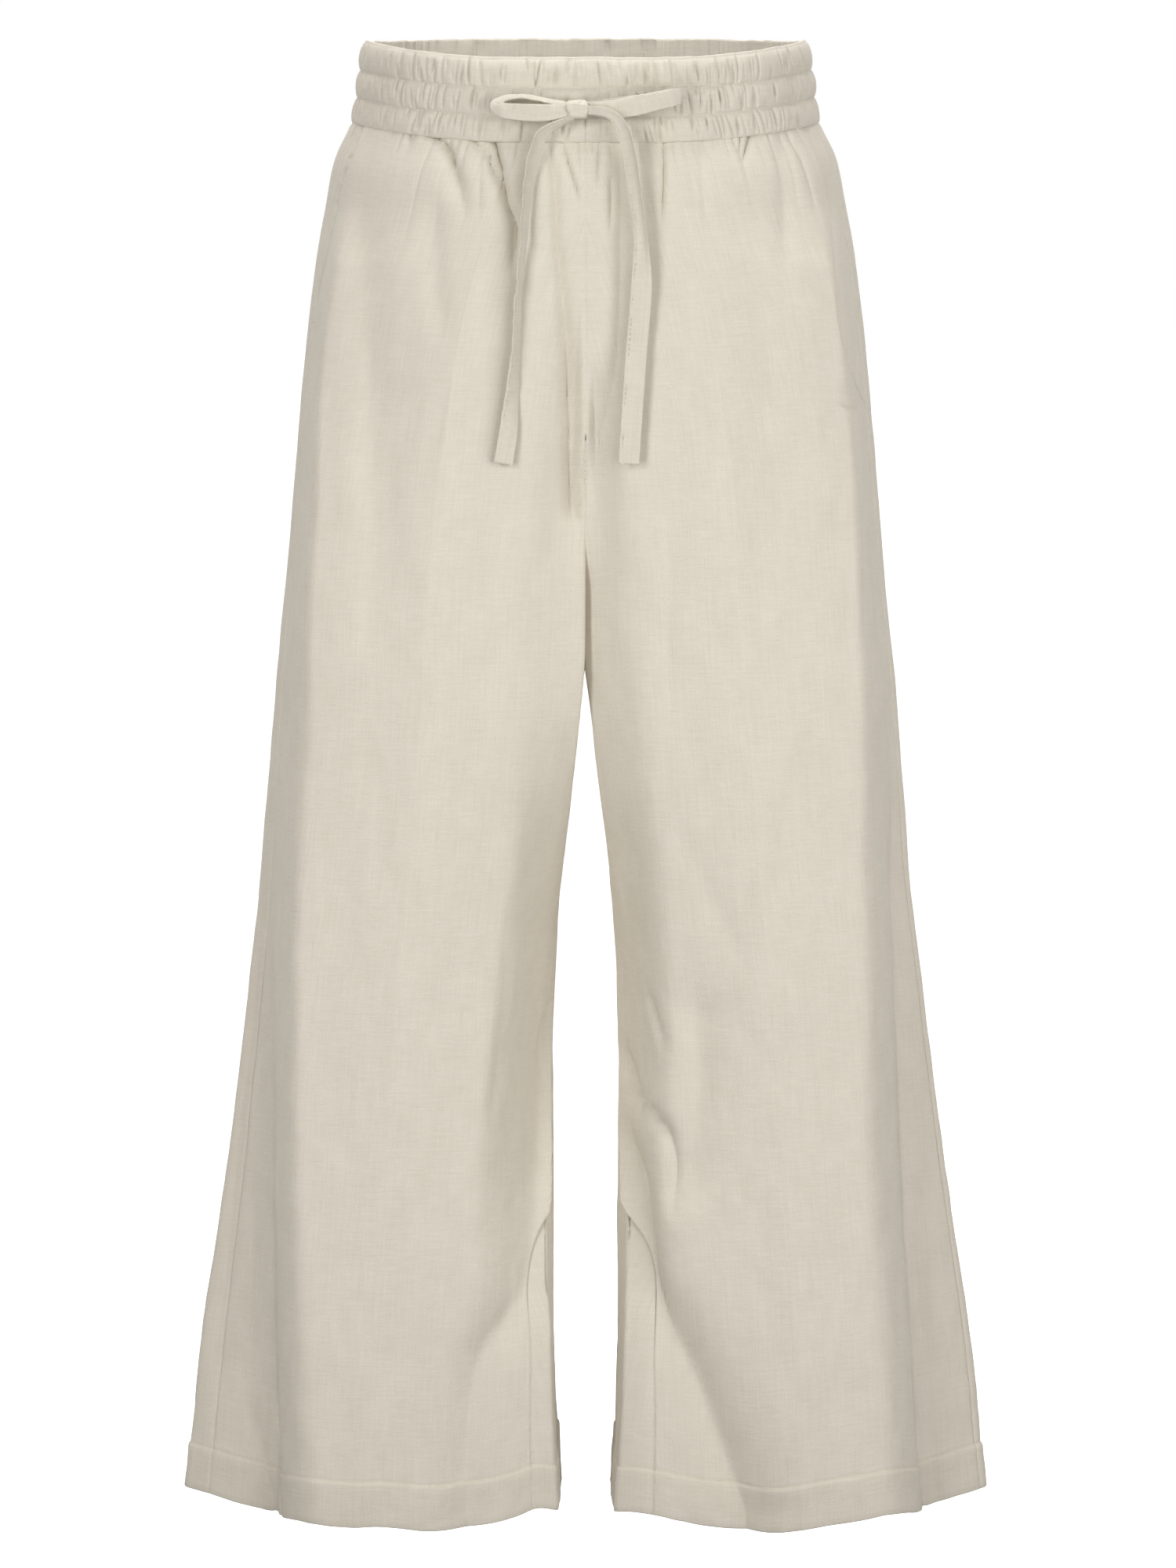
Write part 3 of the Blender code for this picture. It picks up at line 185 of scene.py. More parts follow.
# Smaller ones, in the same columns.
SMALL_FOLDS = (
    # From the waist seam: a tuck that runs into a soft fold, a forked one, the two that meet at the crotch.
    ("left", "front", ((11.2, 2.9), (11.2, 3.7)), -0.38, 0.16, 0.16, 1.6, 0.3, 0.6),
    ("left", "front", ((9.8, 2.9), (9.6, 3.2), (9.1, 3.5), (8.7, 4.1), (8.2, 5.4), (7.6, 8.0)), (-0.95, -0.40), (0.24, 0.6), (0.30, 0.7), 1.3, 0.3, 3.5),
    ("left", "front", ((8.6, 3.4), (8.5, 3.9), (8.3, 4.6)), -0.18, 0.15, 0.15, 1.6, 0.5, 0.8),
    ("left", "front", ((7.1, 3.0), (7.0, 3.4), (6.4, 3.8), (5.9, 5.1), (4.9, 6.6)), -0.46, 0.18, 0.24, 1.3, 0.3, 1.6),
    ("left", "front", ((5.9, 3.1), (5.7, 3.7), (5.2, 5.4), (4.8, 7.3), (4.3, 8.8), (4.6, 11.4)), (-0.95, -0.60), (0.24, 0.5), (0.32, 0.6), 1.3, 0.4, 3.0),
    ("left", "front", ((2.4, 3.2), (2.3, 3.8), (2.0, 5.9), (1.9, 8.8), (1.6, 12.2), (1.15, 17.0), (0.90, 21.0), (0.68, 24.5), (0.50, 28.6)), (-0.34, -0.95), (0.34, 0.75), (0.28, 0.65), 1.55, 0.8, 2.2),
    ("left", "front", ((1.5, 3.2), (1.4, 3.5), (0.9, 5.1), (0.3, 6.9)), -0.34, 0.15, 0.18, 1.4, 0.4, 1.5),
    ("left", "front", ((2.2, 11.4), (2.8, 14.5), (3.2, 17.8)), -0.15, 0.25, 0.5, 1.4, 1.5, 2.0),
    ("left", "front", ((9.5, 7), (9.5, 10.6), (9.2, 16)), -0.18, 0.8, 0.9, 2.0, 2.5, 4),
    ("left", "front", ((3.6, 4.5), (3.5, 8.0), (3.3, 11.0)), -0.15, 0.5, 0.3, 1.6, 1.5, 3),
    ("right", "front", ((2.1, 3.2), (2.2, 8.0), (2.1, 14.0), (1.8, 18.6), (1.35, 21.0), (1.10, 22.4), (1.00, 23.6)), (-0.46, -0.30), (0.40, 0.60), (0.30, 0.70), 1.6, 0.8, 2.6),
    ("right", "front", ((1.5, 5.5), (1.55, 7.0), (1.5, 9.0)), -0.24, 0.16, 0.20, 1.4, 0.8, 1.6),
    ("right", "front", ((0.85, 3.2), (0.8, 4.4), (0.7, 6.2)), -0.24, 0.14, 0.16, 1.4, 0.4, 1.4),
    ("right", "front", ((4.9, 3.2), (4.9, 4.5), (4.8, 8.3)), -0.38, 0.16, 0.22, 1.4, 0.4, 2.4),
    ("right", "front", ((10.5, 2.9), (10.4, 3.3), (10.0, 4.7)), -0.52, 0.15, 0.20, 1.3, 0.3, 0.8),
    ("right", "front", ((9.8, 2.9), (9.8, 3.5), (9.8, 4.5)), -0.20, 0.13, 0.13, 1.5, 0.3, 0.9),
    ("right", "front", ((7.2, 3.0), (7.3, 5.0), (7.6, 9.5)), -0.15, 0.3, 0.4, 1.6, 0.5, 3.5),
    ("right", "front", ((12.2, 3.2), (12.5, 6.5), (12.7, 12)), -0.18, 0.6, 0.8, 1.8, 1.5, 4),
    ("right", "front", ((11.0, 10), (11.4, 22), (11.6, 34)), -0.15, 1.8, 1.8, 2.0, 6, 7),
    ("right", "front", ((13.95, 2.9), (14.0, 3.4), (14.2, 4.2)), -0.21, 0.13, 0.16, 1.4, 0.3, 0.7),
    # Down the legs.
    ("right", "front", ((5.4, 29), (5.4, 35.1), (5.5, 42)), -0.11, 0.5, 0.6, 1.6, 3, 4),
    ("right", "front", ((6.1, 48.0), (8.2, 52.8), (10.5, 57.6)), -0.12, 0.8, 0.9, 1.6, 3, 3),
    ("right", "front", ((2.6, 63.5), (3.4, 66.3), (4.9, 67.7), (5.5, 69.5), (5.5, 73.6)), -0.70, 0.60, 0.80, 1.3, 1.5, 3),
    ("right", "front", ((4.0, 59.0), (5.1, 62.4)), -0.32, 0.35, 0.55, 1.4, 1.2, 1.4),
    ("right", "front", ((7.0, 58.2), (7.2, 65.7), (6.8, 72.8)), -0.62, 1.3, 1.6, 1.8, 4, 4),
    ("right", "front", ((22.2, 88), (22.0, 90.2), (22.6, 93)), -0.27, 0.3, 0.4, 1.4, 1.5, 0),
    ("left", "front", ((22.4, 86.8), (21.6, 90.0), (21.2, 93)), -0.24, 0.35, 0.35, 1.4, 2, 0),
    ("left", "front", ((21.0, 86.0), (20.4, 89.5), (20.1, 93)), -0.21, 0.35, 0.35, 1.4, 2, 0),
    ("left", "front", ((2.3, 61.5), (3.1, 63.0), (4.0, 63.4)), -0.18, 0.35, 0.35, 1.5, 1.0, 0.8),
    ("left", "front", ((5.2, 54), (5.4, 60), (6.2, 68)), -0.15, 0.8, 0.7, 1.8, 4, 4),
    # Down the backs, much as at the front.
    ("left", "back", ((2.6, 2.9), (2.9, 4.4), (3.6, 8.5)), (-0.45, -0.18), (0.20, 0.5), (0.26, 0.6), 1.3, 0.3, 3.5),
    ("left", "back", ((6.2, 2.9), (6.5, 4.0), (7.4, 6.4)), -0.30, 0.18, 0.24, 1.3, 0.3, 1.8),
    ("left", "back", ((9.4, 2.9), (9.6, 5.0), (9.9, 10.0)), (-0.45, -0.24), (0.22, 0.5), (0.22, 0.6), 1.4, 0.4, 3.5),
    ("left", "back", ((12.0, 2.9), (12.1, 3.6), (12.6, 4.8)), -0.27, 0.16, 0.18, 1.4, 0.3, 1.0),
    ("left", "back", ((1.2, 14), (1.6, 20), (2.6, 27)), -0.24, 0.5, 0.7, 1.5, 3, 4),
    ("right", "back", ((1.7, 2.9), (1.8, 4.2), (1.5, 7.2)), -0.33, 0.18, 0.22, 1.3, 0.3, 2.2),
    ("right", "back", ((4.9, 2.9), (5.2, 4.6), (6.0, 9.0)), (-0.48, -0.21), (0.22, 0.6), (0.24, 0.6), 1.3, 0.3, 4.0),
    ("right", "back", ((8.2, 2.9), (8.2, 3.8), (8.7, 5.6)), -0.27, 0.16, 0.20, 1.4, 0.3, 1.4),
    ("right", "back", ((11.0, 2.9), (11.1, 4.2), (11.6, 8.2)), (-0.39, -0.18), (0.20, 0.5), (0.22, 0.5), 1.4, 0.4, 3.0),
    ("right", "back", ((13.1, 2.9), (13.2, 4.0)), -0.21, 0.14, 0.14, 1.5, 0.3, 0.8),
    ("right", "back", ((1.0, 16), (1.8, 22), (3.2, 28)), -0.27, 0.6, 0.7, 1.5, 3, 4),
    ("left", "back", ((9.0, 56), (9.6, 66), (9.0, 78)), -0.24, 1.2, 1.2, 2.0, 5, 6),
    ("right", "back", ((12.0, 48), (11.2, 60), (11.8, 72)), -0.27, 1.4, 1.2, 2.0, 6, 6),
    ("right", "back", ((3.4, 60.5), (4.6, 63.0), (5.6, 66.6)), -0.24, 0.4, 0.6, 1.4, 1.5, 2.5),
)
FOLDS = BIG_FOLDS + SMALL_FOLDS

KNOT = {"centre": (-0.54, -10.72, -2.62), "size": (1.36, 1.00, 1.16)}
TAIL_LEFT = table(
    "x y z width twist cup",
    (-0.85, -10.78, -3.48, 0.50, 50, 0),
    (-1.75, -10.95, -3.52, 0.72, 50, 0.1),
    (-2.60, -11.02, -4.00, 1.00, 48, 0.2),
    (-3.22, -11.02, -5.20, 1.15, 48, 0.2),
    (-3.62, -11.10, -7.30, 1.15, 55, 0.2),
    (-3.92, -11.34, -10.70, 1.10, 64, 0.1),
    (-4.18, -11.46, -14.10, 1.10, 68, 0),
    (-4.46, -11.42, -18.60, 1.15, 60, 0),
    (-4.86, -11.32, -22.60, 1.25, 24, 0),
    (-5.18, -11.25, -24.70, 1.25, 6, 0.1),
)
TAIL_RIGHT = table(
    "x y z width twist cup",
    (0.28, -11.10, -2.68, 0.55, -10, 0),
    (1.20, -11.32, -2.80, 0.62, -15, 0.2),
    (1.95, -11.42, -3.22, 0.80, -15, 0.5),
    (2.45, -11.38, -4.10, 0.98, -15, 0.8),
    (2.75, -11.30, -5.30, 1.05, -15, 0.9),
    (3.10, -11.32, -7.60, 1.02, -12, 0.9),
    (3.48, -11.50, -10.70, 1.00, -8, 0.7),
    (3.50, -11.60, -13.00, 1.30, -4, 0.1),
    (3.15, -11.62, -18.00, 1.35, 0, 0),
    (2.70, -11.40, -24.70, 1.35, 6, 0.1),
)
LOOP_LEFT = table(
    "x y z width twist",
    (-1.32, -10.95, -2.78, 0.70, 0),
    (-2.60, -11.15, -2.84, 1.05, 0),
    (-4.20, -11.20, -2.80, 1.02, 0),
    (-5.25, -11.10, -2.64, 0.90, 0),
    (-5.62, -10.85, -2.40, 0.75, 15),
    (-5.30, -10.62, -2.04, 0.62, 45),
    (-4.20, -10.52, -1.82, 0.60, 66),
    (-2.80, -10.48, -1.98, 0.60, 66),
    (-1.34, -10.50, -2.36, 0.60, 30),
)
LOOP_RIGHT = table(
    "x y z width twist",
    (0.25, -10.76, -2.50, 0.65, 0),
    (1.50, -10.98, -2.62, 1.10, 0),
    (3.00, -11.12, -2.44, 1.22, 0),
    (4.60, -11.08, -2.08, 1.15, 0),
    (5.70, -10.93, -1.86, 1.05, 0),
    (5.95, -10.72, -1.82, 0.95, 0),
    (5.40, -10.44, -1.90, 0.95, 0),
    (3.40, -10.38, -2.15, 0.92, 0),
    (1.60, -10.38, -2.35, 0.85, 0),
    (0.30, -10.42, -2.45, 0.70, 0),
)

# ---------------------------------------------------------------------------------------------------------------
# The garment's form


def along(columns, name, at, key="drop"):
    """One column of a table, read anywhere on a smooth curve through its rows."""
    knots, values = columns[key], columns[name]
    slopes = np.gradient(values, knots)
    at = np.clip(np.asarray(at, float), knots[0], knots[-1])
    i = np.clip(np.searchsorted(knots, at) - 1, 0, len(knots) - 2)
    span = knots[i + 1] - knots[i]
    t = (at - knots[i]) / span
    return (
        values[i] * (1 + 2 * t) * (1 - t) ** 2
        + slopes[i] * span * t * (1 - t) ** 2
        + values[i + 1] * (3 - 2 * t) * t**2
        - slopes[i + 1] * span * t**2 * (1 - t)
    )


def ease(value, low, high):
    """0 below low, 1 above high, smooth between."""
    t = np.clip((np.asarray(value, float) - low) / (high - low), 0, 1)
    return t * t * (3 - 2 * t)


def bend(share, corner, soft, fin=None, level=0.07):
    """From 1 to 0 as share goes from 0 to 1: nearly level up to the corner, then a steep slope, and past the fin a
    slight one."""

    def slope_sum(at, middle, width):
        low, high = np.clip(middle - width, 0, 1), np.clip(middle + width, 0.05, 1)
        t = np.clip((at - low) / (high - low), 0, 1)
        return (high - low) * (t**3 - t**4 / 2) + np.clip(at - high, 0, None)

    def fallen(at):
        total = level * at + 0.93 * slope_sum(at, corner, soft)
        return total if fin is None else total - 0.93 * FIN_FLAT * slope_sum(at, fin, 0.05)

    return 1 - fallen(share) / fallen(np.ones_like(share))


def section(half, turn, drop):
    """The undisturbed half section: distance from the centre, and depth (front is negative)."""
    turn, drop = np.broadcast_arrays(np.asarray(turn, float), np.asarray(drop, float))
    turn = np.where(turn > 4, turn - 4, turn)
    is_front = turn <= 2
    p = np.clip(np.where(is_front, turn, 4 - turn), 0, 2)
    side, inner = along(FORM, "side", drop), along(FORM, "inner", drop)
    apex, square = along(FORM, "apex", drop), along(FORM, "square", drop)
    depth = np.where(is_front, along(FORM, "front", drop), along(FORM, "back", drop))
    begins = np.where(is_front, FRONT_CURVE, BACK_CURVE)
    rounded = np.where(is_front, along(FORM, "front_round", drop), along(FORM, "back_round", drop))
    # Just below the crotch the left leg's front lies over the right one's.
    if half == "left":
        rounded = rounded * np.where(is_front, 1 - 0.32 * ease(drop, 29, 33) * (1 - ease(drop, 38, 48)), 1.0)
    lean = rounded * (0.9 - 0.6 * ease(drop, 24, 29)) * (1 - ease(drop, 38, 48))
    flat = depth - rounded
    start = flat * np.sqrt(1 - np.clip((drop - begins) / (CROTCH - begins), 0, 1) ** 2)
    facet = along(CORNERS, "facet", drop) * np.where(is_front, 1.0, 0.2 + 0.6 * ease(drop, 30, 52))
    soft = along(CORNERS, f"soft_{half}", drop)
    level = 0.07 - 0.045 * (ease(drop, 6, 12) - ease(drop, 34, 56))
    # From the centre seam, the crotch curve or the inner leg: straight forward where the two halves press on each
    # other, for the first third of the turn, then round to the middle of the front or back.
    t = np.clip(p * 3, 0, 1)
    y_press = start + (flat - start) * t
    t = np.clip((p - 1 / 3) * 1.5, 0, 1)
    b0, b1, b2, b3 = (1 - t) ** 3, 3 * t * (1 - t) ** 2, 3 * t * t * (1 - t), t**3
    x0 = b0 * inner + b1 * (inner + lean) + b2 * (apex - 0.60 * (apex - inner)) + b3 * apex
    y0 = b0 * flat + b1 * (flat + 0.62 * rounded) + (b2 + b3) * depth
    share = 1 - np.sin(t * math.pi / 2)
    corner = (apex - along(CORNERS, f"inner_{half}", drop)) / (apex - inner)
    x0 = x0 * (1 - facet) + facet * (apex - (apex - inner) * share)
    y0 = y0 * (1 - facet) + facet * (flat + rounded * bend(share, corner, soft))
    x0, y0 = np.where(p < 1 / 3, inner, x0), np.where(p < 1 / 3, y_press, np.minimum(y0, depth))
    # From there to the outer side, between a quarter of a squared ellipse and two flats with a corner.
    angle = np.clip(p - 1, 0, 1) * math.pi / 2
    share = np.sin(angle)
    corner = (along(CORNERS, f"outer_{half}", drop) - apex) / (side - apex)
    fin = np.clip((along(CORNERS, f"fin_{half}", drop) - apex) / (side - apex), corner + 0.1, 0.93)
    x1 = share ** (2 / square) * (1 - facet) + share * facet
    y1 = np.clip(np.cos(angle), 0, 1) ** (2 / square) * (1 - facet) + facet * bend(share, corner, soft, fin, level)
    x1, y1 = apex + (side - apex) * x1, depth * y1
    x, y = np.where(p <= 1, x0, x1), np.where(p <= 1, y0, y1)
    return x, np.where(is_front, -y, y)


DROPS = np.linspace(WAIST_TOP - 0.5, 94.0, 420)
TURNS = np.linspace(0, 5, 601)
GIRTHS, ACROSS = {}, {}
for _half in ("left", "right"):
    _x, _y = section(_half, TURNS[None, :], DROPS[:, None])
    _step = np.hypot(np.diff(_x, axis=1), np.diff(_y, axis=1))
    GIRTHS[_half] = np.concatenate([np.zeros((len(DROPS), 1)), np.cumsum(_step, axis=1)], axis=1)
    ACROSS[_half] = _x


def girth(half, turn, drop):
    """Distance along the cloth from the centre front or inner leg to this turn."""
    turn, drop = np.broadcast_arrays(np.asarray(turn, float), np.asarray(drop, float))
    i = np.clip((drop - DROPS[0]) / (DROPS[1] - DROPS[0]), 0, len(DROPS) - 1.001)
    j = np.clip(turn / TURNS[1], 0, len(TURNS) - 1.001)
    a, b = i.astype(int), j.astype(int)
    u, v = i - a, j - b
    lengths = GIRTHS[half]
    low = lengths[a, b] * (1 - v) + lengths[a, b + 1] * v
    high = lengths[a + 1, b] * (1 - v) + lengths[a + 1, b + 1] * v
    return low * (1 - u) + high * u


def turn_at(half, distance, drop, face):
    """The turn at which the cloth is this far from the centre line, on the front or the back."""
    row = int(np.clip(np.searchsorted(DROPS, drop), 0, len(DROPS) - 1))
    if face == "front":
        keep = slice(0, 241)
        return float(np.interp(distance, ACROSS[half][row, keep], TURNS[keep]))
    keep = slice(240, 481)
    return float(np.interp(distance, ACROSS[half][row, keep][::-1], TURNS[keep][::-1]))


def smooth_line(points, count):
    """A smooth line through these points."""
    points = np.array(points, float)
    steps = np.hypot(*np.diff(points[:, :2], axis=0).T) + 1e-9
    way = np.concatenate([[0], np.cumsum(steps)])
    columns = {"way": way, **{str(i): points[:, i] for i in range(points.shape[1])}}
    at = np.linspace(0, way[-1], count)
    return np.stack([along(columns, str(i), at, "way") for i in range(points.shape[1])], axis=-1)


def seam_turn(half, which, drop):
    """The turn of the side seam or of the inseam."""
    degrees = along(SEAMS, f"{which}_{half}", drop)
    if which == "side":
        return 1 + degrees / 90
    return np.where(np.asarray(drop) < CROTCH, 0.0, degrees / 90)


def pocket_edge(half, drop):
    """Girth of the pocket's edge, or of the side seam below it."""
    seam = girth(half, seam_turn(half, "side", drop), drop)
    edge = np.array(
        [float(girth(half, turn_at(half, float(along(POCKETS, half, d)), d, "front"), d)) for d in np.ravel(drop)]
    ).reshape(np.shape(drop))
    end = POCKET_END[half]
    return np.where(np.asarray(drop) < end, np.minimum(edge, seam), seam), seam


def lattice(seed, rows=160, columns=160):
    return np.random.default_rng(seed).uniform(-1, 1, (rows, columns))


def crumple(u, v, seed):
    """Smooth noise from -1 to 1 with a lattice of one unit."""
    values = lattice(seed)
    u, v = np.asarray(u, float) + 31.7, np.asarray(v, float) + 17.3
    i, j = np.floor(u).astype(int), np.floor(v).astype(int)
    a, b = u - i, v - j
    a, b = a * a * a * (a * (6 * a - 15) + 10), b * b * b * (b * (6 * b - 15) + 10)
    r, c = values.shape
    n00, n10 = values[i % r, j % c], values[(i + 1) % r, j % c]
    n01, n11 = values[i % r, (j + 1) % c], values[(i + 1) % r, (j + 1) % c]
    return (n00 * (1 - a) + n10 * a) * (1 - b) + (n01 * (1 - a) + n11 * a) * b


def from_side(half, turn, drop):
    """Distance along the cloth from the outer side: negative on the front, positive on the back."""
    return girth(half, turn, drop) - girth(half, 2.0, drop)


FOLD_PATHS = []
for _half, _face, _line, *_rest in FOLDS:
    _points = smooth_line([(x, d) for x, d in _line], 40)
    FOLD_PATHS.append(
        np.array([(float(from_side(_half, turn_at(_half, x, d, _face), d)), d) for x, d in _points])
    )


def gathers(seed, whole):
    """Small gathers below the waist seam: place along the girth, depth, width, length and slant."""
    made, at, chance = [], 0.4, np.random.default_rng(seed)
    while at < whole:
        long = chance.random() < 0.22
        made.append(
            (
                at,
                chance.uniform(0.05, 0.13) * (1.2 if long else 1.0),
                chance.uniform(0.10, 0.20),
                chance.uniform(4.0, 9.0) if long else chance.uniform(0.7, 3.0),
                chance.uniform(-0.10, 0.10),
            )
        )
        at += chance.uniform(0.45, 1.25)
    return made


WAIST_GATHERS = {"left": gathers(11, 42.0), "right": gathers(23, 42.0)}


def relief(half, turn, drop):
    """How far folds, gathers, seams and crumples move the cloth outwards, in cm."""
    here = girth(half, turn, drop)
    side_way = here - girth(half, 2.0, drop)
    whole = girth(half, 4.0, drop)
    moved = np.zeros_like(here)
    for (fold_half, face, _, depth, inner_width, outer_width, sharp, fade_in, fade_out), path in zip(
        FOLDS, FOLD_PATHS, strict=True
    ):
        if fold_half != half:
            continue
        begin, end = path[0, 1], path[-1, 1]
        down = np.clip((drop - begin) / (end - begin), 0, 1)
        depth, inner_width, outer_width = (
            value[0] * (1 - down) + value[1] * down if isinstance(value, tuple) else value
            for value in (depth, inner_width, outer_width)
        )
        off = side_way - np.interp(drop, path[:, 1], path[:, 0])
        off = off - whole * np.round(off / whole)
        outwards = off if face == "front" else -off
        width = np.where(outwards > 0, outer_width, inner_width)
        fade = ease(drop, begin - 0.3 * fade_in, begin + 0.7 * fade_in)
        if fade_out:
            fade = fade * (1 - ease(drop, end - 0.7 * fade_out, end + 0.3 * fade_out))
        moved += depth * fade * np.exp(-(np.abs(off / width) ** sharp))

    # Gathers hang from the waist seam.
    below = drop - WAIST_SEAM
    scale = whole / girth(half, 4.0, WAIST_SEAM)
    for place, depth, width, length, slant in WAIST_GATHERS[half]:
        off = here - place * scale - slant * below
        spread = width * (1 + 0.5 * np.clip(below, 0, 10) / length)
        fade = (1 - ease(below, 0.1 * length, length)) * ease(below, -0.8, 0.0)
        moved -= depth * fade * np.exp(-(np.abs(off / spread) ** 1.5))

    # The edges that are sewn or pressed together stay together: the centre seam and thighs, and the inseam.
    join = np.minimum(here - girth(half, 1 / 3, drop), girth(half, 4 - 1 / 3, drop) - here)
    touching = 1 - ease(drop, 38, 43)
    moved *= 1 - touching * (1 - ease(join, 0.0, 0.45))
    # Beside the sharp corner at the inner leg a trough is never as deep as it is far from the corner, so that the
    # two faces don't cross.
    corner = np.minimum(np.abs(here - girth(half, 1 / 3, drop)), np.abs(girth(half, 4 - 1 / 3, drop) - here))
    deepest = 0.07 + 0.42 * corner + 0.38 * corner**2
    held = np.where(moved < 0, -deepest * np.tanh(-moved / deepest), moved)
    moved += (held - moved) * ease(drop, 56, 62)
    smooth = moved.copy()

    # Linen's soft crumple, quieter where the gathers hold it.
    calm = 0.6 + 0.4 * ease(drop, 10, 30)
    seed = 5 if half == "left" else 6
    moved += calm * 0.045 * crumple(side_way / 2.3, drop / 4.6, seed)
    moved += calm * 0.028 * crumple(side_way / 0.9, drop / 1.9, seed + 10)
    moved += 0.006 * crumple(side_way / 0.38, drop / 0.7, seed + 20)
    # Sharper crinkles across the lower legs.
    low_down = 0.35 * ease(drop, 46, 56) + 0.65 * ease(drop, 66, 82)
    creased = 1 - np.abs(crumple((side_way + 0.5 * drop) / 1.9, (drop - 0.35 * side_way) / 1.15, seed + 50)) ** 0.7
    moved += 0.042 * low_down * creased

    inseam = girth(half, seam_turn(half, "in", drop), drop)
    apart = np.minimum(np.abs(here - inseam), np.abs(here - inseam - whole))
    quiet = (1 - touching * (1 - ease(join, 0.0, 0.45))) * ease(apart + 9 * (1 - ease(drop, CROTCH - 2, CROTCH)), 0.0, 0.8)
    moved = smooth + (moved - smooth) * quiet

    # Seams lie in a narrow groove and pucker the cloth beside them.
    side = girth(half, seam_turn(half, "side", drop), drop)
    below_crotch = ease(drop, CROTCH - 1, CROTCH + 1)
    for line, number, much in ((side, 0, 1.0), (inseam, 1, below_crotch), (inseam + whole, 2, below_crotch)):
        off = here - line
        pucker = 0.012 * crumple(drop / 0.8, np.zeros_like(drop) + min(number, 1) * 7, seed + 30)
        moved += much * (-0.07 * np.exp(-((off / 0.09) ** 2)) + pucker * np.exp(-((off / 0.7) ** 2)))
    # The centre seam, front and back.
    centre = np.minimum(here, whole - here)
    moved += -0.03 * np.exp(-((centre / 0.10) ** 2)) * (1 - below_crotch)

    # The hem's stitched line, with a slight rope below it.
    up = HEM_DROP - drop
    moved += -0.002 * np.exp(-(((up - HEM_TURN) / 0.13) ** 2))
    rope = crumple((side_way + 0.7 * up) / 0.9, up / 3.0, seed + 40)
    moved += 0.02 * rope * quiet * (1 - ease(up, HEM_TURN, HEM_TURN + 1.2))
    return moved


def seat(half, turn, drop, move):
    """A place on the garment, in cm, moved outwards from the undisturbed section."""
    step = 2e-3
    x, y = section(half, turn, drop)
    # Above the crotch curve the section starts a third of the way to the first turn.
    begins = np.where(turn <= 2, FRONT_CURVE, BACK_CURVE)
    least = np.where(drop <= begins + 0.05, 1 / 3 + 0.12, step)
    at = np.where(turn > 4, turn, np.clip(turn, least, 4 - least))
    ahead, behind = section(half, at + step, drop), section(half, at - step, drop)
    tx, ty = ahead[0] - behind[0], ahead[1] - behind[1]
    size = np.hypot(tx, ty) + 1e-12
    # The edges that are sewn together down the centre and round the crotch don't move apart.
    sewn = ease(np.minimum(turn, np.abs(4 - turn)), 0.0, 0.2) + ease(drop, CROTCH, CROTCH + 1)
    x, y = x + ty / size * move * np.clip(sewn, 0, 1), y - tx / size * move
    # The two halves touch at the centre seam and between the thighs.
    x = np.maximum(x - 0.03 * np.clip(1 - (x - 0.03) / 0.3, 0, 1), 0.001)
    front, back = along(FORM, "front", drop), along(FORM, "back", drop)
    dip = FRONT_DIP * np.clip(-y / front, 0, 1) ** 1.6 - BACK_RISE * np.clip(y / back, 0, 1) ** 1.6
    return x, y, dip


def cloth(half, turn, drop, out=0.0):
    """Places on the garment, in metres. out is a distance outwards in cm, on top of the folds."""
    turn, drop = np.broadcast_arrays(np.asarray(turn, float), np.asarray(drop, float))
    x, y, dip = seat(half, turn, drop, relief(half, turn, drop) + out)
    fall = dip * (1 - ease(drop, 4, 26))
    middle = (along(FORM, "side", drop) + along(FORM, "inner", drop)) / 2
    reach = along(FORM, "side", drop) - middle
    share = np.clip((x - middle) / reach, -1, 1)
    sag = along(HEM_SAG, half, share, "share")
    fall = fall + sag * ease(drop, 74, 93.4)
    press = 0.12 * np.tanh(y / 3) * ease(drop, 26, 31) * (1 - ease(drop, 35, 42))
    sign = -1 if half == "left" else 1
    return np.stack([sign * x + press, y, -(drop + fall)], axis=-1) * CM


def curve_drops(begins, depth, rows):
    """Drops at equal distances down the centre seam and round the crotch curve, ending at the crotch."""
    angle = np.linspace(0, math.pi / 2, 400)
    down = begins + (CROTCH - begins) * np.sin(angle)
    inwards = depth * np.cos(angle)
    drops = np.concatenate([[WAIST_SEAM - 0.3], down])
    steps = np.concatenate([[0], [begins - WAIST_SEAM], np.hypot(np.diff(down), np.diff(inwards))])
    way = np.cumsum(steps)
    return np.interp(np.linspace(0, way[-1], rows + 1), way, drops)


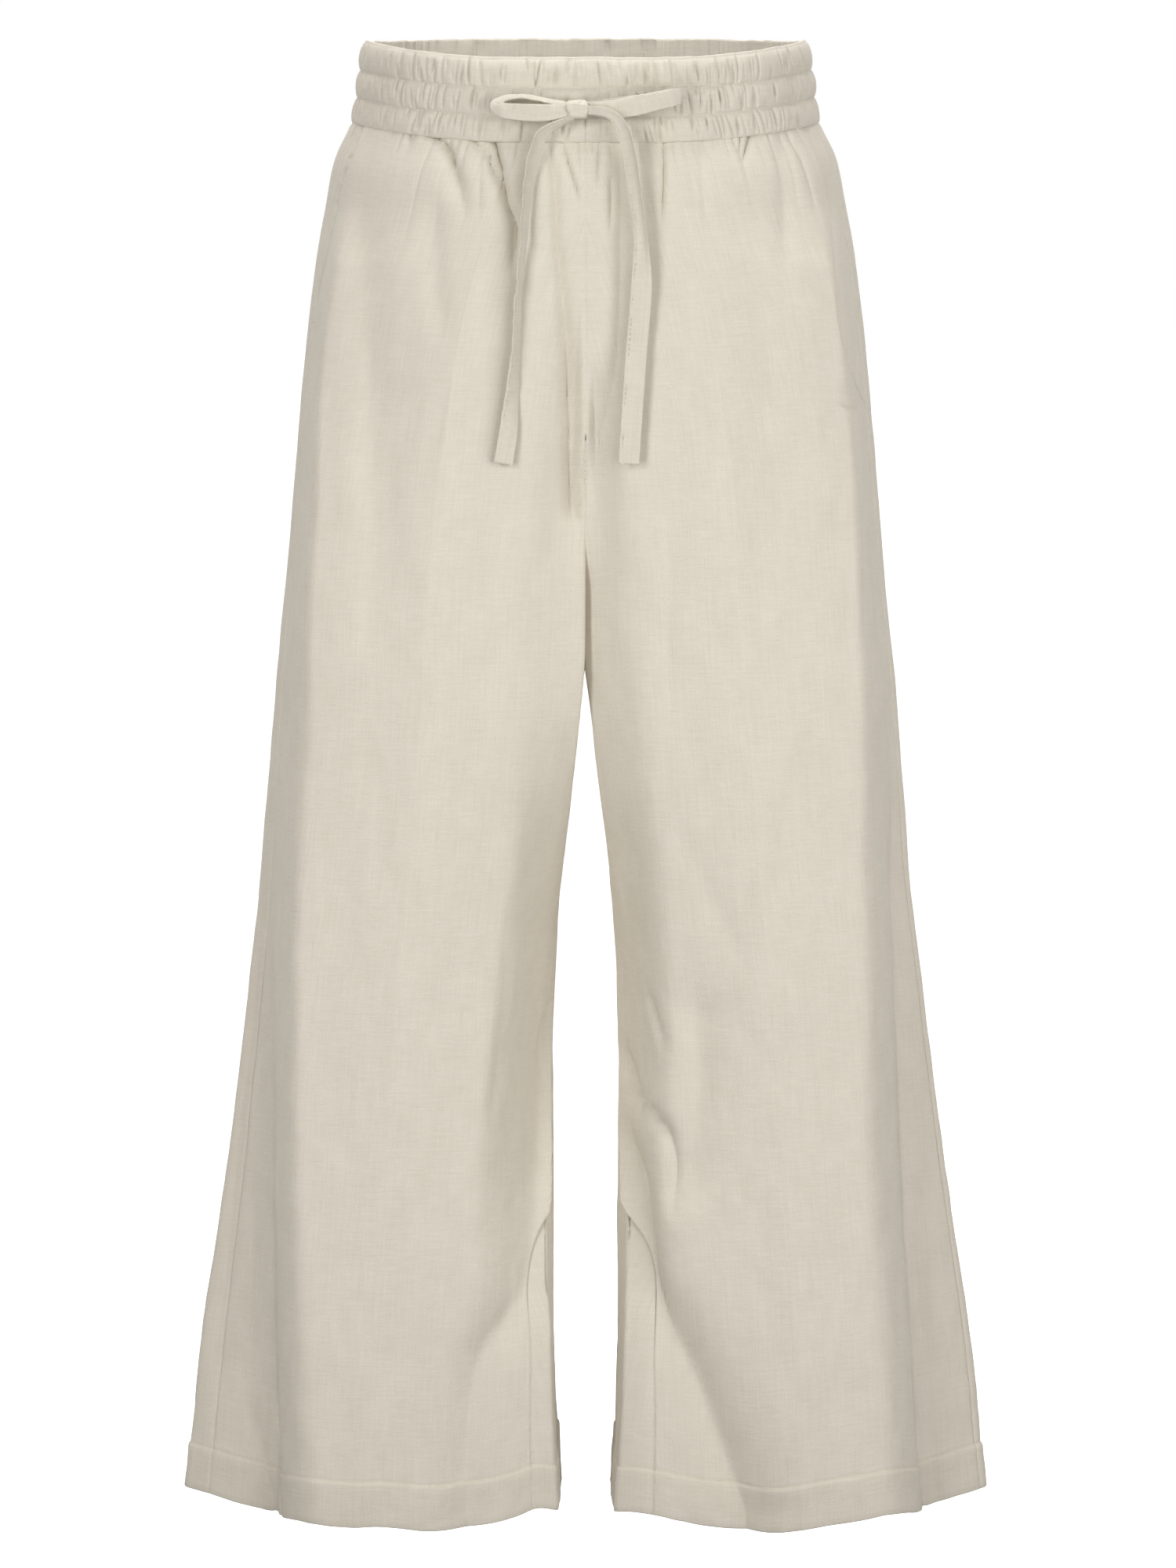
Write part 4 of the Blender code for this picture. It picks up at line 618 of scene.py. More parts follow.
def lay_columns(half, face, share, kept, edge, inner, outer, first, last):
    """Turn and drop of a panel's points. share is 0 at the panel's inner edge and 1 at its side. The columns up to
    kept are for the cloth pressed between the thighs: they end at the corner where it comes out, or close to the
    seam where there is none. inner and outer are the drops of each row at those two edges, and first and last are
    the girths of the panel's edges, for each of DROPS."""
    begins = FRONT_CURVE if face == "front" else BACK_CURVE
    near = edge / 23
    way = np.where(share < kept, share / kept * near, near + (share - kept) / (1 - kept) * (1 - near))
    towards = 1 - (1 - way) ** 2
    drop = inner[:, None] * (1 - towards) + outer[:, None] * towards
    corner = girth(half, 1 / 3 if face == "front" else 4 - 1 / 3, DROPS)
    reach = corner - first if face == "front" else last - corner
    reach = np.maximum(np.clip(reach, 0, None) + edge * (1 - ease(DROPS, begins + 1, CROTCH)), edge)
    # Where a back comes round the inner leg to the seam, one of its columns follows the corner to the front.
    past = np.full(len(DROPS), 0.3)
    if face == "back":
        past = np.where(DROPS > CROTCH, np.maximum(last - girth(half, 4 + 1 / 3, DROPS), past), past)
    close = min(at for at in share if at >= 0.2 * kept)
    turn = np.empty_like(drop)
    for j, at in enumerate(share):
        if at >= kept:
            far = reach + (last - first - reach) * (at - kept) / (1 - kept)
        elif face == "front":
            far = reach * at / kept
        elif at < close:
            far = past * at / close
        else:
            far = past + (reach - past) * (at - close) / (kept - close)
        wanted = first + far if face == "front" else last - far
        found = np.array([np.interp(w, g, TURNS) for w, g in zip(wanted, GIRTHS[half], strict=True)])
        turn[:, j] = np.interp(drop[:, j], DROPS, found)
    return turn, drop


def lower_rows(count):
    """Drops of the rows from the crotch to the hem, with some close to the hem's stitched line."""
    line = HEM_DROP - HEM_TURN
    beside = line + np.array([-0.34, -0.18, -0.08, 0.0, 0.08, 0.18, 0.34])
    below = max(round(count * 0.045), 3)
    above = count - below - len(beside)
    return np.concatenate(
        [np.linspace(CROTCH, beside[0], above + 1)[1:-1], beside, np.linspace(beside[-1], HEM_DROP, below + 2)[1:]]
    )


def panel(half, face, columns, rows):
    """Turn and drop of each point of a front or a back, row by row from the waist seam to the hem."""
    upper = round(rows * 0.44)
    # Rows lie closer together near the waist, where the gathers are.
    t = np.linspace(0, 1, upper + 1)
    outer = np.concatenate(
        [
            WAIST_SEAM - 0.3 + (CROTCH - WAIST_SEAM + 0.3) * (0.62 * t + 0.38 * t**2),
            lower_rows(rows - upper),
        ]
    )
    begins, depth = (FRONT_CURVE, 9.6) if face == "front" else (BACK_CURVE, 11.5)
    inner = outer.copy()
    inner[: upper + 1] = curve_drops(begins, depth, upper)
    spread = np.linspace(0, 1, columns + 1)
    share = 1 - spread if face == "back" else spread
    if face == "front":
        first, last = girth(half, seam_turn(half, "in", DROPS), DROPS), pocket_edge(half, DROPS)[0]
    else:
        first = girth(half, seam_turn(half, "side", DROPS), DROPS)
        last = girth(half, np.where(DROPS >= CROTCH, 4 + seam_turn(half, "in", DROPS), 4.0), DROPS)
    return lay_columns(half, face, share, round(0.18 * columns) / columns, 1.0, inner, outer, first, last)


# ---------------------------------------------------------------------------------------------------------------
# Mesh helpers


def make_mesh(name, points, quads, material, cloth_uv=None, triangles=None):
    """A smooth mesh object from points, quads and optional triangles. cloth_uv gives each point its place on the
    flat cloth in metres, which the weave follows."""
    mesh = bpy.data.meshes.new(name)
    points = np.ascontiguousarray(points, np.float32)
    quads = np.ascontiguousarray(quads, np.int32).reshape(-1, 4)
    triangles = np.zeros((0, 3), np.int32) if triangles is None else np.ascontiguousarray(triangles, np.int32)
    loops = np.concatenate([quads.ravel(), triangles.ravel()])
    mesh.vertices.add(len(points))
    mesh.vertices.foreach_set("co", points.ravel())
    mesh.loops.add(len(loops))
    mesh.loops.foreach_set("vertex_index", loops)
    mesh.polygons.add(len(quads) + len(triangles))
    starts = np.concatenate([np.arange(len(quads)) * 4, len(quads) * 4 + np.arange(len(triangles)) * 3])
    mesh.polygons.foreach_set("loop_start", starts.astype(np.int32))
    mesh.update(calc_edges=True)
    mesh.polygons.foreach_set("use_smooth", np.ones(len(starts), bool))
    if cloth_uv is not None:
        layer = mesh.uv_layers.new(name="Cloth")
        layer.data.foreach_set("uv", np.ascontiguousarray(cloth_uv, np.float32)[loops].ravel())
    mesh.validate()
    mesh.update()
    made = bpy.data.objects.new(name, mesh)
    bpy.context.scene.collection.objects.link(made)
    mesh.materials.append(material)
    return made


def grid_quads(rows, columns, ring=False, flip=False, start=0):
    """Quads of a grid of rows x columns cells."""
    across = columns if ring else columns + 1
    i, j = np.meshgrid(np.arange(rows), np.arange(columns), indexing="ij")
    a = start + i * across + j
    b = start + i * across + (j + 1) % across
    quads = np.stack([a, a + across, b + across, b], axis=-1).reshape(-1, 4)
    return quads[:, ::-1] if flip else quads


def grid_normals(points):
    """Unit normals of a grid of points, by its rows and columns."""
    down = np.gradient(points, axis=0)
    across = np.gradient(points, axis=1)
    normal = np.cross(across, down)
    return normal / (np.linalg.norm(normal, axis=-1, keepdims=True) + 1e-12)


def shell(name, outer, normals, thickness, material, uv, flip=False, rounded_end=0):
    """A closed thin wall: the outer grid, the same grid moved in along the normals, and the rim between them. The
    last row can be rounded over, as a folded hem is."""
    rows, columns = outer.shape[0] - 1, outer.shape[1] - 1
    thickness = np.broadcast_to(np.asarray(thickness, float), outer.shape[:2])[..., None]
    inner = outer - normals * thickness
    layers = [outer, inner]
    layer_uv = [uv, uv]
    count = (rows + 1) * (columns + 1)
    quads = [
        grid_quads(rows, columns, flip=flip),
        grid_quads(rows, columns, flip=not flip, start=count),
    ]
    extra, extra_uv = [], []

    def bridge(first, second, turned):
        a, b = np.asarray(first), np.asarray(second)
        strip = np.stack([a[:-1], b[:-1], b[1:], a[1:]], axis=-1)
        return strip[:, ::-1] if turned else strip

    index = np.arange(count).reshape(rows + 1, columns + 1)
    top, left, right = index[0], index[:, 0], index[:, -1]
    quads.append(bridge(top, top + count, not flip))
    quads.append(bridge(left, left + count, flip))
    quads.append(bridge(right, right + count, not flip))
    bottom = index[-1]
    chain = [bottom]
    if rounded_end:
        down = outer[-1] - outer[-2]
        down /= np.linalg.norm(down, axis=-1, keepdims=True) + 1e-12
        radius = thickness[-1] / 2
        middle = outer[-1] - normals[-1] * radius
        offset = 2 * count
        for k in range(1, rounded_end + 1):
            angle = math.pi * k / (rounded_end + 1)
            ring = middle + normals[-1] * radius * math.cos(angle) + down * radius * math.sin(angle)
            extra.append(ring)
            extra_uv.append(uv[-1] + np.array([0, 1]) * radius * math.sin(angle))
            chain.append(np.arange(columns + 1) + offset)
            offset += columns + 1
    chain.append(bottom + count)
    for first, second in zip(chain[:-1], chain[1:], strict=True):
        quads.append(bridge(first, second, flip))
    points = np.concatenate([layer.reshape(-1, 3) for layer in layers] + extra)
    all_uv = np.concatenate([layer.reshape(-1, 2) for layer in layer_uv] + extra_uv)
    made_quads = np.concatenate(quads)
    if rounded_end:
        # Close the two small ends of the rounded hem.
        tris = []
        for end, turned in ((0, flip), (-1, not flip)):
            ids = [part[end] for part in chain]
            for k in range(1, len(ids) - 1):
                tri = (ids[0], ids[k + 1], ids[k])
                tris.append(tri[::-1] if turned else tri)
        return make_mesh(name, points, made_quads, material, all_uv, np.array(tris))
    return make_mesh(name, points, made_quads, material, all_uv)


# ---------------------------------------------------------------------------------------------------------------
# Materials


class Nodes:
    """Short names for the nodes of one material."""

    def __init__(self, name):
        self.material = bpy.data.materials.new(name)
        self.material.use_nodes = True
        self.tree = self.material.node_tree
        self.shader = self.tree.nodes["Principled BSDF"]

    def link(self, source, target):
        self.tree.links.new(source, target)

    def math(self, operation, a, b=None, clamp=False):
        node = self.tree.nodes.new("ShaderNodeMath")
        node.operation, node.use_clamp = operation, clamp
        for socket, value in zip(node.inputs, (a, b), strict=False):
            if value is None:
                continue
            if isinstance(value, (int, float)):
                socket.default_value = value
            else:
                self.link(value, socket)
        return node.outputs[0]

    def place(self, scale):
        """The flat cloth's coordinates, in cycles a metre along and across."""
        uv = self.tree.nodes.new("ShaderNodeUVMap")
        uv.uv_map = "Cloth"
        mapping = self.tree.nodes.new("ShaderNodeMapping")
        mapping.inputs["Scale"].default_value = (*scale, 1)
        self.link(uv.outputs[0], mapping.inputs["Vector"])
        return mapping.outputs[0]

    def noise(self, scale, detail=2.0, roughness=0.5, distortion=0.0):
        node = self.tree.nodes.new("ShaderNodeTexNoise")
        node.noise_dimensions = "2D"
        node.inputs["Scale"].default_value = 1.0
        node.inputs["Detail"].default_value = detail
        node.inputs["Roughness"].default_value = roughness
        node.inputs["Distortion"].default_value = distortion
        self.link(self.place(scale), node.inputs["Vector"])
        return node.outputs["Fac"]

    def bump(self, height, distance, strength, normal=None):
        node = self.tree.nodes.new("ShaderNodeBump")
        node.inputs["Distance"].default_value = distance
        node.inputs["Strength"].default_value = strength
        self.link(height, node.inputs["Height"])
        if normal is not None:
            self.link(normal, node.inputs["Normal"])
        return node.outputs[0]

    def ramp(self, factor, *stops):
        node = self.tree.nodes.new("ShaderNodeValToRGB")
        elements = node.color_ramp.elements
        while len(elements) < len(stops):
            elements.new(0.5)
        for element, (position, colour) in zip(elements, stops, strict=True):
            element.position, element.color = position, (*colour, 1)
        self.link(factor, node.inputs[0])
        return node.outputs[0]


def linen(name, colour, contrast=1.0, weave=1.0):
    """Plain-woven linen: uneven threads both ways, thick slubs, a cloudy dye, and a fine nap."""
    made = Nodes(name)
    # Threads: 16 a centimetre, of uneven thickness, over and under each other.
    sway = made.noise((90, 90), 1.0)
    uv = made.tree.nodes.new("ShaderNodeUVMap")
    uv.uv_map = "Cloth"
    split = made.tree.nodes.new("ShaderNodeSeparateXYZ")
    made.link(uv.outputs[0], split.inputs[0])
    push = made.math("MULTIPLY", sway, 0.0012)
    across = made.math("ADD", split.outputs[0], push)
    down = made.math("ADD", split.outputs[1], push)
    pitch = 0.00062
    warp = made.math("ABSOLUTE", made.math("SINE", made.math("MULTIPLY", across, math.pi / pitch)))
    weft = made.math("ABSOLUTE", made.math("SINE", made.math("MULTIPLY", down, math.pi / pitch)))
    threads = made.math("MULTIPLY", warp, weft)
    # Slubs: long thin swellings along each thread.
    weft_slub = made.noise((75, 1500), 2.5, 0.62)
    warp_slub = made.noise((1500, 42), 2.5, 0.60)
    bold_weft = made.noise((38, 620), 1.5, 0.5)
    bold_warp = made.noise((560, 16), 1.5, 0.5)
    cloud = made.noise((55, 34), 3.0, 0.55)
    grain = made.noise((900, 900), 2.0, 0.6)
    slub = made.math("ADD", made.math("MULTIPLY", weft_slub, 0.55), made.math("MULTIPLY", warp_slub, 0.45))
    bold = made.math("ADD", made.math("MULTIPLY", bold_weft, 0.5), made.math("MULTIPLY", bold_warp, 0.5))
    tone_and_hem_shade = made.math("ADD", made.math("MULTIPLY", slub, 0.42), made.math("MULTIPLY", bold, 0.22))
    tone_and_hem_shade = made.math("ADD", tone_and_hem_shade, made.math("MULTIPLY", cloud, 0.16))
    tone_and_hem_shade = made.math("ADD", tone_and_hem_shade, made.math("MULTIPLY", grain, 0.20))
    # Painted shade: a dark line is painted along the hem's stitched line, for the shadow in its groove, and the doubled
    # cloth below it is painted a little darker, for the shade on the hem.
    past_line = made.math("SUBTRACT", split.outputs[1], (HEM_DROP - HEM_TURN) * CM)
    far = made.math("MULTIPLY", made.math("ABSOLUTE", past_line), 1 / 0.0017)
    line = made.math("SUBTRACT", 1.0, far, clamp=True)
    tone_and_hem_shade = made.math("SUBTRACT", tone_and_hem_shade, made.math("MULTIPLY", line, 0.15))
    tone_and_hem_shade = made.math("SUBTRACT", tone_and_hem_shade, made.math("MULTIPLY", made.math("GREATER_THAN", past_line, 0.0), 0.06))
    spread = 0.11 * contrast
    light = tuple(min(c * (1 + spread), 0.98) for c in colour)
    dark = tuple(c * (1 - spread) * k for c, k in zip(colour, (1.0, 0.985, 0.95), strict=True))
    made.link(made.ramp(tone_and_hem_shade, (0.28, dark), (0.5, colour), (0.72, light)), made.shader.inputs["Base Color"])
    rough = made.math("ADD", made.math("MULTIPLY", slub, 0.16), 0.80, clamp=True)
    made.link(rough, made.shader.inputs["Roughness"])
    made.shader.inputs["Specular IOR Level"].default_value = 0.22
    made.shader.inputs["Sheen Weight"].default_value = 0.10
    made.shader.inputs["Sheen Roughness"].default_value = 0.55
    made.shader.inputs["Sheen Tint"].default_value = (1.0, 0.97, 0.92, 1)
    normal = made.bump(threads, 0.00016, 0.55 * weave)
    normal = made.bump(slub, 0.00030, 0.50 * weave, normal)
    normal = made.bump(bold, 0.00050, 0.35 * weave, normal)
    made.link(normal, made.shader.inputs["Normal"])
    return made.material


LINEN = (0.655, 0.605, 0.515)
panel_linen = linen("linen", LINEN)
band_linen = linen("waistband_linen", tuple(c * 0.96 for c in LINEN), contrast=1.1)
# Painted shade: the drawstring's linen is painted 3% darker than the panels', for the shade along the bow's edges.
cord_linen_painted_darker = linen("drawstring_linen_painted_shade", tuple(c * 0.97 for c in LINEN), contrast=1.1)
thread = Nodes("thread")
thread.shader.inputs["Base Color"].default_value = (*(c * 0.95 for c in LINEN), 1)
thread.link(thread.ramp(thread.noise((2500, 2500), 1.0), (0.35, tuple(c * 0.80 for c in LINEN)), (0.65, tuple(c * 1.05 for c in LINEN))), thread.shader.inputs["Base Color"])
thread.shader.inputs["Roughness"].default_value = 0.7
thread_material = thread.material

# ---------------------------------------------------------------------------------------------------------------
# Panels

PANEL_SIZE = {"front": (240, 184), "back": (216, 184)}
for half in ("left", "right"):
    for face in ("front", "back"):
        columns, rows = PANEL_SIZE[face]
        turn, drop = panel(half, face, columns, rows)
        tuck = -0.16 * (1 - ease(drop, WAIST_SEAM - 0.05, WAIST_SEAM + 0.25))
        outer = cloth(half, turn, drop, out=tuck)
        normals = grid_normals(outer) * (-1 if half == "left" else 1)
        up = HEM_DROP - drop
        thickness = CLOTH + (HEM - CLOTH) * (1 - ease(up, HEM_TURN - 0.25, HEM_TURN))
        grain = girth(half, turn, drop) - girth(half, 1.0 if face == "front" else 3.0, drop)
        uv = np.stack([grain * CM + (0.5 if face == "back" else 0.0), drop * CM], axis=-1)
        made = shell(
            f"linen_{face}_{half}", outer, normals, thickness, panel_linen, uv, flip=half == "left", rounded_end=3
        )
        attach(made, "root")
        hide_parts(f"{face}_{half}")

# ---------------------------------------------------------------------------------------------------------------
# Pocket facings

UNDERLAP = 1.0
for half in ("left", "right"):
    rows, columns = 70, 30
    drops = np.linspace(WAIST_SEAM - 0.3, POCKET_END[half] + 0.6, rows + 1)
    edge, seam = pocket_edge(half, drops)
    share = np.linspace(0, 1, columns + 1)
    at = (edge - UNDERLAP)[:, None] * (1 - share) + seam[:, None] * share
    turn = np.array(
        [
            np.interp(a, GIRTHS[half][np.clip(np.searchsorted(DROPS, d), 0, len(DROPS) - 1)], TURNS)
            for a, d in zip(at, drops, strict=True)
        ]
    )
    drop = np.broadcast_to(drops[:, None], turn.shape)
    down = -0.30 * (1 - ease(at, (edge + 0.10)[:, None], np.minimum(edge + 1.1, seam)[:, None] + 1e-3))
    down = down - 0.16 * (1 - ease(drop, WAIST_SEAM - 0.05, WAIST_SEAM + 0.25))
    outer = cloth(half, turn, drop, out=down)
    normals = grid_normals(outer) * (-1 if half == "left" else 1)
    uv = np.stack([girth(half, turn, drop) * CM + 0.3, drop * CM], axis=-1)
    made = shell(f"linen_facing_{half}", outer, normals, CLOTH, panel_linen, uv, flip=half == "left")
    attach(made, "root")
    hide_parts(f"pocket_facing_{half}")

# ---------------------------------------------------------------------------------------------------------------
# Waistband: three gathered channels

HALF_GIRTH = float(girth("right", 4.0, 0.0))
_row = int(np.searchsorted(DROPS, 0.0))


def band_place(way):
    """(half, turn) at a distance in cm round the waist from the centre front, past the right side, to the back."""
    way = np.mod(way, 2 * HALF_GIRTH)
    left = way > HALF_GIRTH
    distance = np.where(left, 2 * HALF_GIRTH - way, way)
    turn = np.interp(distance, GIRTHS["right"][_row], TURNS)
    return left, np.clip(turn, 1 / 3 + 1e-4, 4 - 1 / 3 - 1e-4)


def band_gathers(seed):
    """The gathers of one channel: place, depth, width, slant, and how much of the height they take."""
    made, at, chance = [], 0.0, np.random.default_rng(seed)
    while at < 2 * HALF_GIRTH:
        kind = chance.random()
        made.append(
            (
                at,
                chance.uniform(0.10, 0.24) * (1.6 if kind < 0.22 else 1.0),
                chance.uniform(0.065, 0.13),
                chance.uniform(-0.30, 0.30),
                chance.uniform(-0.3, 0.60),
                chance.uniform(0.40, 1.25),
            )
        )
        at += chance.uniform(0.18, 0.46)
    return made


BAND_GATHERS = [band_gathers(41), band_gathers(52), band_gathers(63)]
BAND_EDGES = (0.0, *CHANNELS, 1.0)


def band_relief(way, share):
    """How far the band stands out from its seat at this place, in cm."""
    way, share = np.broadcast_arrays(way, share)
    total = 2 * HALF_GIRTH
    out = np.zeros_like(way)
    for channel in range(3):
        low, high = BAND_EDGES[channel], BAND_EDGES[channel + 1]
        inside = (share >= low) & (share <= high)
        t = np.clip((share - low) / (high - low), 0, 1)
        height = np.sin(np.pi * t) ** 0.6
        full = 0.25 * height * (1 + 0.10 * crumple(way / 1.9, share * 0 + channel * 5.0, 71 + channel))
        cut = np.zeros_like(way)
        for at, depth, width, slant, low_share, high_share in BAND_GATHERS[channel]:
            off = way - at - slant * (t - 0.5)
            off = (off + total / 2) % total - total / 2
            near = np.abs(off) < 5 * width
            if not near.any():
                continue
            reach = ease(t, low_share, low_share + 0.3) * (1 - ease(t, high_share - 0.3, high_share))
            cut = cut + np.where(near, depth * reach * np.exp(-(np.abs(off / width) ** 1.5)), 0)
        full = full - cut * (0.35 + 0.65 * height)
        out = np.where(inside, full, out)
    return out


def build_waistband():
    stations = 2200
    way = np.linspace(0, 2 * HALF_GIRTH, stations, endpoint=False)
    left, turn = band_place(way)
    top, bottom = WAIST_TOP, WAIST_SEAM + 0.02
    # The outer face has its rows close to the stitched lines; then the bottom edge, the inner face and the top.
    shares = []
    for low, high in zip(BAND_EDGES[:-1], BAND_EDGES[1:], strict=True):
        steps = (1 - np.cos(np.linspace(0, np.pi, 11))) / 2
        shares += list(low + (high - low) * steps[:-1])
    shares = np.array(shares + [1.0])
    outside, inside_share = shares, np.linspace(1.0, 0.0, 8)

    def ring(share, out):
        drop = top + (bottom - top) * share + 0.035 * crumple(way / 0.7, np.zeros(len(way)), 93)
        places = np.empty((len(way), 3))
        for is_left, half in ((True, "left"), (False, "right")):
            keep = left == is_left
            places[keep] = band_seat(half, turn[keep], drop[keep], out[keep])
        return places

    rows, uv = [], []
    for share in outside:
        out = band_relief(way, np.full(len(way), share)) + 0.06
        rows.append(ring(share, out))
        uv.append(share)
    # The bottom edge turns under.
    rows.append(ring(1.012, np.full(len(way), -0.06)))
    uv.append(1.02)
    for share in inside_share:
        inward = band_relief(way + 0.17, np.full(len(way), share))
        out = -0.24 - 0.10 * np.sin(math.pi * np.clip(share, 0, 1)) ** 0.5 - 0.42 * (inward - 0.12)
        rows.append(ring(share, out))
        uv.append(2.0 - share)
    # The top edge is a rounded fold over the elastic.
    for share, out in ((-0.018, -0.19), (-0.028, -0.10), (-0.020, 0.0)):
        wave = 0.02 * crumple(way / 0.45, np.zeros(len(way)), 90)
        rows.append(ring(share, np.full(len(way), out) + wave))
        uv.append(2.0 - share)
    points = np.array(rows)
    count = len(rows)
    quads = grid_quads(count, stations, ring=True)
    quads = quads % (count * stations)
    height = (bottom - top) * CM
    flat = np.stack(
        [
            np.broadcast_to(way * CM * 1.25, (count, stations)),
            np.broadcast_to(np.array(uv)[:, None] * height, (count, stations)),
        ],
        axis=-1,
    )
    return make_mesh("linen_waistband", points.reshape(-1, 3), quads, band_linen, flat.reshape(-1, 2))


def band_seat(half, turn, drop, out):
    """A place on the band: the waist's own form without the panels' folds."""
    x, y, dip = seat(half, turn, drop, out)
    sign = -1 if half == "left" else 1
    return np.stack([sign * x, y, -(drop + dip)], axis=-1) * CM


band = build_waistband()
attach(band, "root")
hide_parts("waistband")

# ---------------------------------------------------------------------------------------------------------------
# Drawstring


def strip_frames(route, count):
    """Points along a strip's middle, its side direction, its face normal and its width, in cm."""
    middle = np.stack([route["x"], route["y"], route["z"]], axis=-1)
    steps = np.linalg.norm(np.diff(middle, axis=0), axis=1)
    columns = {**route, "way": np.concatenate([[0], np.cumsum(steps)])}
    at = np.linspace(0, columns["way"][-1], count)
    line = np.stack([along(columns, axis, at, "way") for axis in "xyz"], axis=-1)
    width, twist = along(columns, "width", at, "way"), np.radians(along(columns, "twist", at, "way"))
    cup = along(columns, "cup", at, "way") if "cup" in columns else np.zeros(count)
    heading = np.gradient(line, axis=0)
    heading /= np.linalg.norm(heading, axis=1)[:, None]
    across = np.cross(heading, np.tile((0.0, -1.0, 0.0), (count, 1)))
    for i in range(count):
        size = np.linalg.norm(across[i])
        across[i] = across[i] / size if size > 0.35 else across[i - 1]
        if i and np.dot(across[i], across[i - 1]) < 0:
            across[i] = -across[i]
    across -= heading * np.sum(across * heading, axis=1)[:, None]
    across /= np.linalg.norm(across, axis=1)[:, None]
    normal = np.cross(across, heading)
    side = across * np.cos(twist)[:, None] + normal * np.sin(twist)[:, None]
    face = normal * np.cos(twist)[:, None] - across * np.sin(twist)[:, None]
    return line, side, face, width, cup, at


def tucked(route, ends):
    """The route with these ends run on into the knot."""
    made = {name: np.array(column, float) for name, column in route.items()}
    for end in ends:
        for axis, middle in zip("xyz", KNOT["centre"], strict=True):
            made[axis][end] += 0.42 * (middle - made[axis][end])
    return made


def build_strip(name, route, count, seed, thickness=0.17):
    """A folded, stitched strip of linen along a route, slightly crumpled, with round edges."""
    line, side, face, width, cup, at = strip_frames(route, count)
    around = 22
    angle = np.linspace(0, 2 * np.pi, around, endpoint=False)
    across = np.sign(np.cos(angle)) * np.abs(np.cos(angle)) ** 0.55 * 0.5
    thick = np.sign(np.sin(angle)) * np.abs(np.sin(angle)) ** 0.75 * 0.5
    rows = []
    for i in range(count):
        share = across * 2
        bend = cup[i] * (np.abs(share) ** 1.6 - 0.3) * width[i] * 0.5
        wave = 0.050 * crumple(at[i] / 0.8 + share * 0.3, share * 0.8, seed) + 0.028 * crumple(
            np.full(around, at[i] / 0.3), share * 1.9, seed + 1
        )
        # A soft fold runs along the strip, now nearer one edge, now nearer the other.
        ridge = 0.35 * crumple(np.full(around, at[i] / 2.6), np.zeros(around), seed + 2)
        wave = wave + 0.045 * np.exp(-(((share - ridge) / 0.22) ** 2)) - 0.030 * np.exp(
            -(((share - ridge - 0.38) / 0.16) ** 2)
        )
        groove = 0.022 * (np.exp(-(((share - 0.72) / 0.10) ** 2)) + np.exp(-(((share + 0.72) / 0.10) ** 2)))
        local = thick * (thickness - 2 * groove) + bend + wave
        rows.append(
            line[i]
            + side[i] * (across * width[i] * (1 - 0.18 * abs(cup[i])))[:, None]
            + face[i] * local[:, None]
        )
    points = np.array(rows)
    flat = np.stack(
        [
            np.broadcast_to(across[None, :] * 0.013 + 0.004 * np.sign(thick)[None, :], (count, around)),
            np.broadcast_to(at[:, None] * CM, (count, around)),
        ],
        axis=-1,
    ).reshape(-1, 2)
    quads = grid_quads(count - 1, around, ring=True)
    first, last = points[0].mean(axis=0), points[-1].mean(axis=0)
    total = np.concatenate([points.reshape(-1, 3), [first, last]])
    flat = np.concatenate([flat, [flat[0], flat[-1]]])
    n = len(total)
    caps = []
    for j in range(around):
        k = (j + 1) % around
        caps.append((n - 2, j, k))
        caps.append((n - 1, (count - 1) * around + k, (count - 1) * around + j))
    made = make_mesh(name, total * CM, quads, cord_linen_painted_darker, flat, np.array(caps))
    return made, line * CM, float(at[-1]) * CM


def build_knot():
    """The bow's knot: the strip wrapped once round the others, pulled in at both sides."""
    centre, size = np.array(KNOT["centre"]), np.array(KNOT["size"])
    rows, columns = 40, 64
    polar = np.linspace(0.02, np.pi - 0.02, rows + 1)
    angle = np.linspace(0, 2 * np.pi, columns, endpoint=False)
    a, p = np.meshgrid(angle, polar)

    def squared(value, power):
        return np.sign(value) * np.abs(value) ** power

    x = squared(np.cos(p), 0.45) * 0.5
    y = squared(np.sin(p), 0.45) * squared(np.cos(a), 0.75) * 0.5
    z = squared(np.sin(p), 0.45) * squared(np.sin(a), 0.75) * 0.5
    places = np.stack([x * size[0], y * size[1], z * size[2]], axis=-1)
    lumps = 0.05 * crumple(x * 5, a * 1.4, 301) + 0.02 * crumple(x * 11, a * 3.1, 302)
    # The wrap's edge crosses the front of the knot.
    lumps = lumps - 0.09 * np.exp(-(((z - 0.9 * x - 0.18) / 0.06) ** 2)) * (y < 0)
    out = places / (np.linalg.norm(places, axis=-1, keepdims=True) + 1e-9)
    places = places + out * lumps[..., None] + centre
    quads = grid_quads(rows, columns, ring=True, flip=True)
    points = places.reshape(-1, 3)
    total = np.concatenate([points, [places[0].mean(axis=0), places[-1].mean(axis=0)]])
    n = len(total)
    caps = []
    for j in range(columns):
        k = (j + 1) % columns
        caps.append((n - 2, k, j))
        caps.append((n - 1, rows * columns + j, rows * columns + k))
    flat = np.stack([x * 0.014, a * 0.0018], axis=-1).reshape(-1, 2)
    flat = np.concatenate([flat, [flat[0], flat[-1]]])
    return make_mesh("linen_knot", total * CM, quads, cord_linen_painted_darker, flat, np.array(caps))


